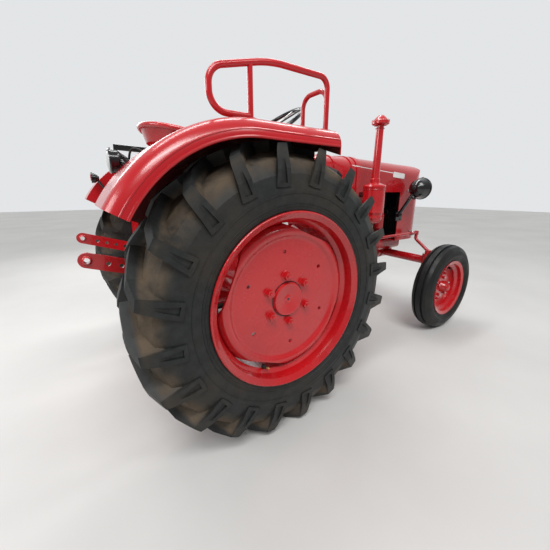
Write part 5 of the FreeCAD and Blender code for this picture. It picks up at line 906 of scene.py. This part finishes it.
class TRACTOR_OT_rear_lamps(bpy.types.Operator):
    """Bezels, lenses, screws, strap, lead and bolts of the work lamp and the tail lamp"""

    bl_idname = "tractor.rear_lamps"
    bl_label = "Rear lamps"
    bl_options = {"REGISTER", "UNDO"}

    def execute(self, context):
        self.lamp("work_lamp", (fore(-0.545), -0.395, 1.203), 0.042, 0.032, "clear_lens")
        self.lamp("tail_lamp", (fore(-0.585), 0.395, 1.172), 0.028, 0.020, "red_lens")
        self.work_lamp_mount()
        row("lamp_plate_bolts", "satin_black", hex_bolt(0.006, 0.005),
            [((fore(x), y, z), (0, 1 if y < 0 else -1, 0), 0.2) for x, y, z in
             ((-0.455, -0.4425, 1.110), (-0.480, -0.4425, 1.132),
              (-0.500, 0.4425, 1.078), (-0.525, 0.4425, 1.100))])
        return {"FINISHED"}

    def lamp(self, name, centre, radius, reach, glass):
        """Bezel, lens and clamp screw of a lamp, whose bowl ends at its reach behind the centre."""
        bezel = ((radius - 0.001, reach * 0.72), (radius + 0.0022, reach * 0.76),
                 (radius + 0.0026, reach * 0.92), (radius - 0.001, reach * 1.06),
                 (radius - 0.005, reach * 1.06), (radius - 0.006, reach * 0.98))
        fitting(f"{name}_bezel", "satin_black", bezel, 48, centre, BACK)
        lens = ((radius - 0.0055, reach * 0.98), (radius - 0.009, reach * 1.10),
                (radius * 0.55, reach * 1.20), (radius * 0.15, reach * 1.24))
        fitting(f"{name}_lens", glass, lens, 48, centre, BACK)
        screw = stand(hex_bolt(0.004, 0.004),
                      Vector(centre) + Vector((-reach * 0.8, 0, radius + 0.002)))
        settle(screw, f"{name}_screw", "bright_steel")

    def work_lamp_mount(self):
        """The strap from the fender's plate to the work lamp, and the lamp's lead."""
        strap = recessed(block((0.192, 0.020, 0.0045), 0.0012), 0.004, 0.0008)
        way = Vector((0.183, -0.0465, -0.012)).normalized()
        face = Vector((-0.246, -0.969, 0.0)).normalized()
        turn = Matrix((way, face.cross(way), face)).transposed().to_4x4()
        strap.matrix_world = Matrix.Translation((fore(-0.4635), -0.4225, 1.247)) @ turn
        settle(strap, "work_lamp_strap", "satin_black")
        lead = pipe(((fore(-0.510), -0.404, 1.205), (fore(-0.506), -0.414, 1.246),
                     (fore(-0.482), -0.428, 1.252), (fore(-0.452), -0.440, 1.232),
                     (fore(-0.430), -0.4475, 1.200)), 0.0042, 2)
        settle(lead, "work_lamp_lead", "black_rubber")


class TRACTOR_OT_engine(bpy.types.Operator):
    """Pump, pipes, filters, starter, generator, belt, hoses and bolts round the engine"""

    bl_idname = "tractor.engine"
    bl_label = "Engine fittings"
    bl_options = {"REGISTER", "UNDO"}

    def execute(self, context):
        self.injection()
        self.filters()
        self.starter()
        self.generator()
        self.belt()
        self.hoses()
        self.fasteners()
        self.dipstick()
        return {"FINISHED"}

    def injection(self):
        """The injection pump on the right side, with four delivery pipes to the head."""
        governor = turned(((0.034, 0), (0.034, 0.028), (0.029, 0.034), (0.029, 0.066),
                           (0.022, 0.072)), 28)
        drive = turned(((0.027, 0), (0.027, 0.040), (0.020, 0.052), (0.012, 0.052)), 24)
        pump = joined([stand(block((0.150, 0.060, 0.062), 0.006), (fore(1.245), -0.170, 0.745)),
                       stand(governor, (fore(1.318), -0.172, 0.745), AHEAD),
                       stand(drive, (fore(1.172), -0.172, 0.740), BACK)])
        settle(pump, "fuel_pump", "dark_iron")
        outlets = [fore(1.195 + 0.033 * index) for index in range(4)]
        union = turned(((0.0095, 0), (0.0095, 0.010), (0.0075, 0.012), (0.0075, 0.020),
                        (0.0045, 0.023)), 6)
        row("pump_unions", "bright_steel", union,
            [((outlet, -0.172, 0.7755), UP, 0.0) for outlet in outlets])
        nozzle = ((0.0105, 0), (0.0105, 0.012), (0.0080, 0.014), (0.0080, 0.026),
                  (0.0050, 0.030))
        for index, outlet in enumerate(outlets):
            rise = 0.012 * index
            inlet = fore(0.960 + 0.130 * index)
            line = pipe(((outlet, -0.172, 0.794), (outlet, -0.172, 0.845 + rise),
                         (inlet + 0.02, -0.168, 0.870 + rise), (inlet, -0.160, 0.930),
                         (inlet, -0.145, 0.975), (inlet, -0.116, 0.990)), 0.0034, 2)
            settle(line, f"delivery_pipe_{index}", "bright_steel")
            fitting(f"injector_union_{index}", "bright_steel", nozzle, 6,
                    (inlet, -0.1165, 0.990), (0, -1, 0))

    def filters(self):
        """The fuel filter under its bracket, and the oil filter low on the block."""
        bowl = ((0.030, -0.105), (0.037, -0.100), (0.038, -0.006), (0.041, -0.004),
                (0.041, 0.000), (0.036, 0.006), (0.036, 0.020), (0.012, 0.026))
        fitting("fuel_filter", "engine_paint_shaded", bowl, 32, (fore(1.355), -0.184, 0.905))
        bracket = stand(block((0.060, 0.055, 0.008), 0.002), (fore(1.355), -0.164, 0.927))
        settle(bracket, "filter_bracket", "dark_iron")
        canister = ((0.036, 0), (0.041, 0.005), (0.041, 0.086), (0.036, 0.096), (0.020, 0.100))
        fitting("oil_filter", "satin_black", canister, 32, (fore(1.060), -0.136, 0.640),
                (0, -1, 0.1))

    def starter(self):
        """The starter low on the right, with its solenoid on top."""
        motor = turned(((0.040, 0), (0.046, 0.006), (0.046, 0.150), (0.040, 0.158),
                        (0.016, 0.160)), 32)
        solenoid = turned(((0.022, 0), (0.024, 0.004), (0.024, 0.086), (0.018, 0.092)), 24)
        settle(joined([stand(motor, (fore(0.875), -0.182, 0.600), AHEAD),
                       stand(solenoid, (fore(0.885), -0.190, 0.668), AHEAD)]),
               "starter_motor", "dark_iron")

    def generator(self):
        """The generator high on the left, on its bracket, with its pulley."""
        shell = turned(((0.044, 0), (0.050, 0.008), (0.050, 0.120), (0.044, 0.130),
                        (0.014, 0.130), (0.014, 0.136)), 36)
        bracket = block((0.070, 0.045, 0.020), 0.004)
        settle(joined([stand(shell, (fore(1.322), 0.190, 0.800), AHEAD),
                       stand(bracket, (fore(1.380), 0.152, 0.792))]), "generator", "dark_iron")
        pulley = ((0.034, 0), (0.036, 0.002), (0.028, 0.007), (0.028, 0.009), (0.036, 0.014),
                  (0.034, 0.016), (0.012, 0.018))
        fitting("generator_pulley", "bright_steel", pulley, 36, (fore(1.459), 0.190, 0.800),
                AHEAD)

    def belt(self):
        """A vee belt round crank, fan and generator, from a hull of their three pulleys."""
        # Pulleys: place across, height, radius
        pulleys = ((0.0, 0.540, 0.052), (0.0, 0.905, 0.036), (0.190, 0.800, 0.030))
        hull = joined([stand(turned(((radius, 0), (radius, 0.012)), 40), (fore(1.4625), y, z),
                             AHEAD) for y, z, radius in pulleys])
        bpy.ops.object.transform_apply(location=True, rotation=True, scale=True)
        bpy.ops.object.mode_set(mode="EDIT")
        bpy.ops.mesh.select_all(action="SELECT")
        bpy.ops.mesh.convex_hull()
        leave()
        choose(hull, lambda centre, normal: abs(normal.x) > 0.9)
        bpy.ops.mesh.delete(type="ONLY_FACE")
        leave()
        only(hull)
        shell = hull.modifiers.new("belt_wall", "SOLIDIFY")
        shell.thickness = 0.008
        shell.offset = 1.0
        bpy.ops.object.modifier_apply(modifier=shell.name)
        settle(hull, "fan_belt", "black_rubber")

    def hoses(self):
        """Water hoses between the engine and the radiator, with a clip at each end."""
        upper = pipe(((fore(1.455), 0.050, 1.060), (fore(1.495), 0.050, 1.085),
                      (fore(1.525), 0.050, 1.150), (fore(1.562), 0.050, 1.160)), 0.022, 4)
        settle(upper, "upper_hose", "black_rubber")
        lower = pipe(((fore(1.455), -0.075, 0.640), (fore(1.500), -0.075, 0.635),
                      (fore(1.530), -0.075, 0.700), (fore(1.562), -0.075, 0.710)), 0.022, 4)
        settle(lower, "lower_hose", "black_rubber")
        row("hose_clips", "bright_steel", ring(0.0232, 0.0024, 36, 6),
            [((fore(1.462), 0.050, 1.0635), (0.9, 0, 0.5), 0.0),
             ((fore(1.545), 0.050, 1.1585), (1, 0, 0.1), 0.0),
             ((fore(1.462), -0.075, 0.6395), AHEAD, 0.0),
             ((fore(1.545), -0.075, 0.7085), (1, 0, 0.1), 0.0)])

    def fasteners(self):
        """Bolts of the head and sump, knobs of the valve cover, core plugs of the block."""
        along = (0.900, 0.990, 1.080, 1.170, 1.260, 1.350, 1.420)
        row("head_bolts", "engine_paint_shaded", hex_bolt(0.009, 0.008),
            [((fore(x), y, 1.0525), UP, 0.3 * index) for y in (-0.100, 0.100)
             for index, x in enumerate(along)])
        knob = turned(((0.020, 0), (0.020, 0.003), (0.011, 0.005), (0.011, 0.010), (0.018, 0.013),
                       (0.018, 0.022), (0.012, 0.026)), 20)
        row("cover_knobs", "bright_steel", knob,
            [((fore(x), 0, 1.118), UP, 0.0) for x in (1.000, 1.290)])
        row("sump_bolts", "engine_paint_shaded", hex_bolt(0.0065, 0.006),
            [((fore(0.90 + 0.08 * index), side * 0.1405, 0.556), (0, side, 0), 0.2 * index)
             for side in SIDES.values() for index in range(7)])
        plug = recessed(turned(((0.024, -0.001), (0.024, 0.003), (0.022, 0.0042)), 28), 0.003,
                        0.0022)
        row("core_plugs", "bright_steel", plug,
            [((fore(x), 0.1405, 0.720), (0, 1, 0), 0.0) for x in (0.95, 1.12, 1.29)])

    def dipstick(self):
        """The dipstick's tube on the right of the block, and its pull."""
        tube = pipe(((fore(1.010), -0.148, 0.650), (fore(1.006), -0.158, 0.720),
                     (fore(1.000), -0.166, 0.830), (fore(0.998), -0.168, 0.862)), 0.0042, 2)
        settle(tube, "dipstick_tube", "bright_steel")
        loop = stand(ring(0.012, 0.0022, 24, 6), (fore(0.997), -0.169, 0.876), (0, 1, 0))
        settle(loop, "dipstick_loop", "bright_steel")


class TRACTOR_OT_steering(bpy.types.Operator):
    """Hub cap and spoke sleeves of the steering wheel, clamps of the links, kingpin caps"""

    bl_idname = "tractor.steering"
    bl_label = "Steering fittings"
    bl_options = {"REGISTER", "UNDO"}

    def execute(self, context):
        lean = math.radians(35)
        way = Vector((-math.sin(lean), 0, math.cos(lean)))
        hub = Vector((fore(0.425), 0, 1.492))
        cap = ((0.030, 0.004), (0.031, 0.010), (0.027, 0.016), (0.016, 0.019), (0.014, 0.0175),
               (0.004, 0.0175))
        fitting("steering_hub_cap", "hand_plastic", cap, 32, hub, way, "steering_wheel")
        sleeve = ((0.0062, 0.040), (0.0066, 0.042), (0.0066, 0.176), (0.0056, 0.186))
        aim = way.to_track_quat("Z", "Y")
        for index in range(3):
            turn = math.radians(90 + 120 * index)
            spoke = aim @ Vector((math.cos(turn), math.sin(turn), 0))
            fitting(f"steering_spoke_{index}", "bright_steel", sleeve, 16, hub, spoke,
                    "steering_wheel")
        for word, side in SIDES.items():
            self.link_ends(word, side)
        return {"FINISHED"}

    def link_ends(self, word, side):
        """Clamps of a drag link, and the cap and grease nipple of its kingpin."""
        clamp = joined([ring(0.0155, 0.004, 24, 6),
                        stand(block((0.026, 0.012, 0.010), 0.002), (0.022, 0, 0)),
                        stand(hex_bolt(0.0055, 0.006), (0.024, 0.006, 0), (0, 1, 0))])
        row(f"drag_link_clamps_{word}", "bright_steel", clamp,
            [((fore(x), side * 0.330, 0.755), AHEAD, 0.6) for x in (0.880, 1.610)],
            f"drag_link_{word}")
        cap = ((0.027, 0), (0.029, 0.004), (0.029, 0.010), (0.022, 0.013), (0.008, 0.014))
        fitting(f"kingpin_cap_{word}", "body_paint", cap, 28,
                (fore(1.690), side * 0.460, 0.5925))
        nipple = ((0.004, 0), (0.004, 0.004), (0.0025, 0.006), (0.0038, 0.010), (0.0020, 0.012))
        fitting(f"kingpin_nipple_{word}", "brass", nipple, 10,
                (fore(1.690), side * 0.460, 0.606))


class TRACTOR_OT_driveline(bpy.types.Operator):
    """Bolts and plugs of the castings, and the splines of the power take-off"""

    bl_idname = "tractor.driveline"
    bl_label = "Casting bolts"
    bl_options = {"REGISTER", "UNDO"}

    def execute(self, context):
        self.bolts()
        filler = ((0.026, 0), (0.026, 0.010), (0.022, 0.012), (0.022, 0.020), (0.012, 0.022))
        fitting("lift_filler_plug", "bright_steel", filler, 6, (fore(0.060), 0.060, 0.956))
        drain = ((0.020, 0), (0.020, 0.004), (0.013, 0.005), (0.013, 0.016))
        fitting("case_drain_plug", "bright_steel", drain, 6, (fore(0.030), 0, 0.4395), DOWN)
        self.splines()
        return {"FINISHED"}

    def bolts(self):
        flanges = []
        for side in SIDES.values():
            flanges += on_circle(REAR_HUB, side, 0.124, 10, 12, 0.1915)
        row("axle_flange_bolts", "body_paint", hex_bolt(0.0095, 0.009, 0.006), flanges)
        edge = [(y, z) for z in (0.480, 0.560, 0.640, 0.720) for y in (-0.100, 0.100)]
        edge += [(y, z) for z in (0.470, 0.755) for y in (-0.04, 0.04)]
        row("rear_cover_bolts", "body_paint", hex_bolt(0.0085, 0.008),
            [((fore(-0.2345), y, z), BACK, 0.4) for y, z in edge])
        row("bell_bolts", "body_paint", hex_bolt(0.009, 0.009),
            [((fore(0.8285), side * 0.2055, z), (0, side, 0), 0.2)
             for side in SIDES.values() for z in (0.500, 0.600, 0.700, 0.800)])
        row("case_bolts", "body_paint", hex_bolt(0.0085, 0.008),
            [((fore(0.300), side * 0.1655, z), (0, side, 0), 0.2)
             for side in SIDES.values() for z in (0.500, 0.585, 0.670, 0.755)])
        row("lift_housing_bolts", "body_paint", hex_bolt(0.0085, 0.008),
            [((fore(x), side * 0.135, 0.829), UP, 0.3)
             for side in SIDES.values() for x in (-0.18, -0.08, 0.02, 0.11)])

    def splines(self):
        """Six keys round the power take-off shaft."""
        places = []
        for index in range(6):
            turn = math.tau * index / 6
            across, up = math.cos(turn), math.sin(turn)
            places.append(((fore(-0.312), across * 0.0163, 0.590 + up * 0.0163),
                           (0, across, up), 0.0))
        row("pto_splines", "bright_steel", block((0.060, 0.0085, 0.0052), 0.0008), places,
            "pto_shaft")


class TRACTOR_OT_linkage(bpy.types.Operator):
    """Drawbar pin, and the pin ends of the lower links and the top link"""

    bl_idname = "tractor.linkage"
    bl_label = "Linkage pins"
    bl_options = {"REGISTER", "UNDO"}

    def execute(self, context):
        shank = turned(((0.0105, -0.075), (0.0115, -0.070), (0.0115, 0.016), (0.0180, 0.018),
                        (0.0180, 0.024), (0.014, 0.026)), 24)
        pull = stand(ring(0.020, 0.0032, 28, 6), (0, 0, 0.044), (0, 1, 0))
        settle(stand(joined([shank, pull]), (fore(-0.486), 0, 0.418)), "drawbar_pin",
               "bright_steel")
        head = ((0.019, 0), (0.020, 0.003), (0.020, 0.010), (0.014, 0.013))
        for word, side in SIDES.items():
            fitting(f"lower_link_pin_{word}", "bright_steel", head, 24,
                    (fore(-0.165), side * 0.3720, 0.656), (0, side, 0))
        cap = turned(((0.017, 0), (0.018, 0.002), (0.018, 0.008), (0.012, 0.011)), 24)
        row("top_link_pin_ends", "bright_steel", cap,
            [((fore(-0.298), side * 0.046, 0.842), (0, side, 0), 0.0)
             for side in SIDES.values()])
        return {"FINISHED"}


class TRACTOR_OT_seat_and_rail(bpy.types.Operator):
    """Bolts with washers of the seat, and welds round the handrail's feet"""

    bl_idname = "tractor.seat_and_rail"
    bl_label = "Seat and handrail"
    bl_options = {"REGISTER", "UNDO"}

    def execute(self, context):
        bolt = joined([turned(((0.014, 0), (0.014, 0.002), (0.012, 0.003)), 24),
                       stand(hex_bolt(0.0075, 0.006), (0, 0, 0.002))])
        row("seat_bolts", "bright_steel", bolt,
            [((fore(x), y, 1.2660), UP, 0.3) for x in (-0.215, -0.140) for y in (-0.035, 0.035)])
        row("handrail_welds", "fender_paint_with_shade", ring(0.0165, 0.0034, 28, 6),
            [((fore(x), -0.700, 1.3415), UP, 0.0) for x in (-0.140, 0.198)])
        return {"FINISHED"}


class TRACTOR_OT_platform(bpy.types.Operator):
    """Raised tread bars of the footplates"""

    bl_idname = "tractor.platform"
    bl_label = "Footplates"
    bl_options = {"REGISTER", "UNDO"}

    def execute(self, context):
        rows, columns, lean = 14, 6, 0.75
        for word, side in SIDES.items():
            places = []
            for along in range(rows):
                for across in range(columns):
                    at = (fore(0.262 + 0.038 * along), side * (0.236 + 0.041 * across), 0.5672)
                    places.append((at, UP, lean if (along + across) % 2 else -lean))
            row(f"footplate_treads_{word}", "body_paint", block((0.030, 0.0065, 0.0036), 0.0014),
                places)
        return {"FINISHED"}


class TRACTOR_OT_intake(bpy.types.Operator):
    """Bands and clips of the air cleaner, collars and cap fins of its stack"""

    bl_idname = "tractor.intake"
    bl_label = "Air cleaner fittings"
    bl_options = {"REGISTER", "UNDO"}

    def execute(self, context):
        axis = Vector((fore(1.000), -0.382, 0))
        row("air_cleaner_bands", "body_paint", ring(0.0742, 0.0022, 72, 6),
            [(axis + Vector((0, 0, z)), UP, 0.0) for z in (0.925, 1.108)])
        clip = joined([block((0.040, 0.010, 0.006), 0.002),
                       stand(block((0.012, 0.013, 0.006), 0.002), (0, 0, 0.005))])
        clips = []
        for turn in (math.radians(-20), math.radians(100), math.radians(220)):
            out = Vector((math.cos(turn), math.sin(turn), 0))
            clips.append((axis + out * 0.0765 + Vector((0, 0, 0.925)), out, 0.0))
        row("air_cleaner_clips", "body_paint", clip, clips)
        row("stack_collars", "body_paint", ring(0.0272, 0.0024, 40, 6),
            [(axis + Vector((0, 0, z)), UP, 0.0) for z in (1.170, 1.484)])
        fins = []
        for index in range(24):
            turn = math.tau * index / 24
            out = Vector((math.cos(turn), math.sin(turn), 0))
            fins.append((axis + out * 0.0535 + Vector((0, 0, 1.526)), UP, turn))
        row("stack_cap_fins", "body_paint", block((0.0030, 0.0034, 0.015), 0.0009), fins)
        return {"FINISHED"}


class TRACTOR_OT_exhaust(bpy.types.Operator):
    """A black disc in the exhaust's end, painted shade of its open mouth"""

    bl_idname = "tractor.exhaust"
    bl_label = "Exhaust mouth"
    bl_options = {"REGISTER", "UNDO"}

    def execute(self, context):
        # Painted shade: a black disc filling the pipe's end where its open mouth would be dark
        fitting("exhaust_mouth_shade", "satin_black", ((0.0215, 0.000), (0.0215, -0.004)), 32,
                (fore(0.1195), 0.251, 0.408), BACK)
        return {"FINISHED"}


class TRACTOR_OT_dash(bpy.types.Operator):
    """Blank gauges and switches on the cowl's rear face"""

    bl_idname = "tractor.dash"
    bl_label = "Gauges"
    bl_options = {"REGISTER", "UNDO"}

    def execute(self, context):
        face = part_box("cowl")[0].x
        gauges = [((face, y, 1.150), BACK, 0.0) for y in (-0.105, 0.105)]
        dial = turned(((0.034, 0), (0.036, 0.002), (0.036, 0.008), (0.033, 0.0105),
                       (0.030, 0.0105), (0.029, 0.006)), 40)
        row("gauge_bodies", "satin_black", dial, gauges)
        glass = turned(((0.0290, 0.0062), (0.0280, 0.0078), (0.016, 0.0088)), 40)
        row("gauge_glasses", "clear_lens", glass, gauges)
        switch = turned(((0.012, 0), (0.012, 0.004), (0.006, 0.006), (0.006, 0.014),
                         (0.010, 0.017), (0.010, 0.024), (0.007, 0.027)), 20)
        row("dash_switches", "hand_plastic", switch,
            [((face, y, 1.085), BACK, 0.0) for y in (-0.12, -0.075, 0.075, 0.12)])
        return {"FINISHED"}


class TRACTOR_OT_stage(bpy.types.Operator):
    """Lays the floor and sets the backdrop, the lights and the camera"""

    bl_idname = "tractor.stage"
    bl_label = "Floor, lights and camera"
    bl_options = {"REGISTER", "UNDO"}

    def execute(self, context):
        settings = context.scene.tractor_stage
        self.floor(settings)
        self.backdrop(context)
        self.lights()
        self.camera(context, settings)
        return {"FINISHED"}

    def floor(self, settings):
        floor = begin("plane", size=settings.floor_size)
        floor.name = "floor"
        surface = Shader("floor_pale")
        cloud = surface.range(surface.noise(0.8, 5.0), 0.3, 0.7)
        surface.set(Base_Color=surface.blend(cloud, (0.60, 0.59, 0.575, 1), (0.66, 0.65, 0.63, 1)),
                    Roughness=0.7)
        floor.data.materials.append(surface.material)

    def backdrop(self, context):
        """Pale ahead of the photograph's camera, dimmer behind it so that paint stays deep."""
        world = bpy.data.worlds.new("studio")
        world.use_nodes = True
        nodes, links = world.node_tree.nodes, world.node_tree.links
        place = nodes.new("ShaderNodeTexCoord")
        ahead = nodes.new("ShaderNodeVectorMath")
        ahead.operation = "DOT_PRODUCT"
        ahead.inputs[1].default_value = (0.56, 0.83, 0.0)
        ramp = nodes.new("ShaderNodeMapRange")
        ramp.interpolation_type = "SMOOTHSTEP"
        for socket, number in zip(("From Min", "From Max", "To Min", "To Max"),
                                  (-0.4, 0.7, 0.24, 0.80)):
            ramp.inputs[socket].default_value = number
        links.new(place.outputs["Generated"], ahead.inputs[0])
        links.new(ahead.outputs["Value"], ramp.inputs["Value"])
        background = nodes["Background"]
        background.inputs["Color"].default_value = (0.96, 0.98, 1.0, 1)
        links.new(ramp.outputs["Result"], background.inputs["Strength"])
        context.scene.world = world
        context.scene.view_settings.view_transform = "Standard"

    def lights(self):
        # Panels: name, place, aim, length, width, power
        panels = (
            ("key_strip", (-0.9, -2.3, 3.3), (-0.2, -0.3, 0.7), 3.6, 0.35, 42),
            ("roof_strip", (0.1, 0.5, 3.7), (0.1, 0.0, 0.8), 4.4, 0.35, 50),
            ("rear_panel", (-3.6, -0.2, 2.3), (-0.4, -0.3, 0.8), 1.4, 1.0, 26),
            ("left_panel", (-1.2, 4.0, 2.8), (-0.2, 0.2, 0.7), 2.6, 1.0, 45),
        )
        for name, place, aim, length, width, power in panels:
            panel = self.light("AREA", name, place, Vector(aim) - Vector(place), power)
            panel.shape = "RECTANGLE"
            panel.size = length
            panel.size_y = width
        sun = self.light("SUN", "soft_sun", (0, 0, 6), Vector((0.35, 0.55, -1.0)), 1.25)
        sun.angle = math.radians(28)

    def light(self, kind, name, place, way, power):
        """A light at a place that shines a way."""
        deselect()
        bpy.ops.object.light_add(type=kind, location=place)
        lamp = bpy.context.object
        lamp.name = name
        lamp.data.energy = power
        lamp.rotation_euler = way.to_track_quat("-Z", "Y").to_euler()
        return lamp.data

    def camera(self, context, settings):
        """The photograph's camera, behind and beside the right drive wheel."""
        bpy.ops.object.camera_add(
            location=(fore(-0.703), -1.684, 1.094),
            rotation=(math.radians(90) - settings.camera_dip, 0, -settings.camera_turn))
        camera = context.object
        camera.name = "photo_camera"
        camera.data.lens = settings.focal_length
        camera.data.clip_start = 0.05
        context.scene.camera = camera


OPERATORS = (
    TRACTOR_OT_finishes, TRACTOR_OT_rear_wheels, TRACTOR_OT_front_wheels, TRACTOR_OT_fenders,
    TRACTOR_OT_bodywork, TRACTOR_OT_grille, TRACTOR_OT_headlamps, TRACTOR_OT_rear_lamps,
    TRACTOR_OT_engine, TRACTOR_OT_steering, TRACTOR_OT_driveline, TRACTOR_OT_linkage,
    TRACTOR_OT_seat_and_rail, TRACTOR_OT_platform, TRACTOR_OT_intake, TRACTOR_OT_exhaust,
    TRACTOR_OT_dash, TRACTOR_OT_stage,
)
SETTINGS = {
    "tractor_finishes": FinishSettings,
    "tractor_tyres": TyreSettings,
    "tractor_stage": StageSettings,
}


class TRACTOR_PT_panel(bpy.types.Panel):
    """Lists the tractor's groups of pieces"""

    bl_idname = "TRACTOR_PT_panel"
    bl_label = "Farm tractor"
    bl_space_type = "VIEW_3D"
    bl_region_type = "UI"
    bl_category = "Tractor"

    def draw(self, context):
        for operator in OPERATORS:
            self.layout.operator(operator.bl_idname)


def register():
    for kind in (*SETTINGS.values(), *OPERATORS, TRACTOR_PT_panel):
        bpy.utils.register_class(kind)
    for name, kind in SETTINGS.items():
        setattr(bpy.types.Scene, name, PointerProperty(type=kind))


def unregister():
    for name in SETTINGS:
        delattr(bpy.types.Scene, name)
    for kind in reversed((*SETTINGS.values(), *OPERATORS, TRACTOR_PT_panel)):
        bpy.utils.unregister_class(kind)


def main():
    register()
    for operator in OPERATORS:
        group, action = operator.bl_idname.split(".")
        getattr(getattr(bpy.ops, group), action)()


if __name__ == "__main__":
    main()
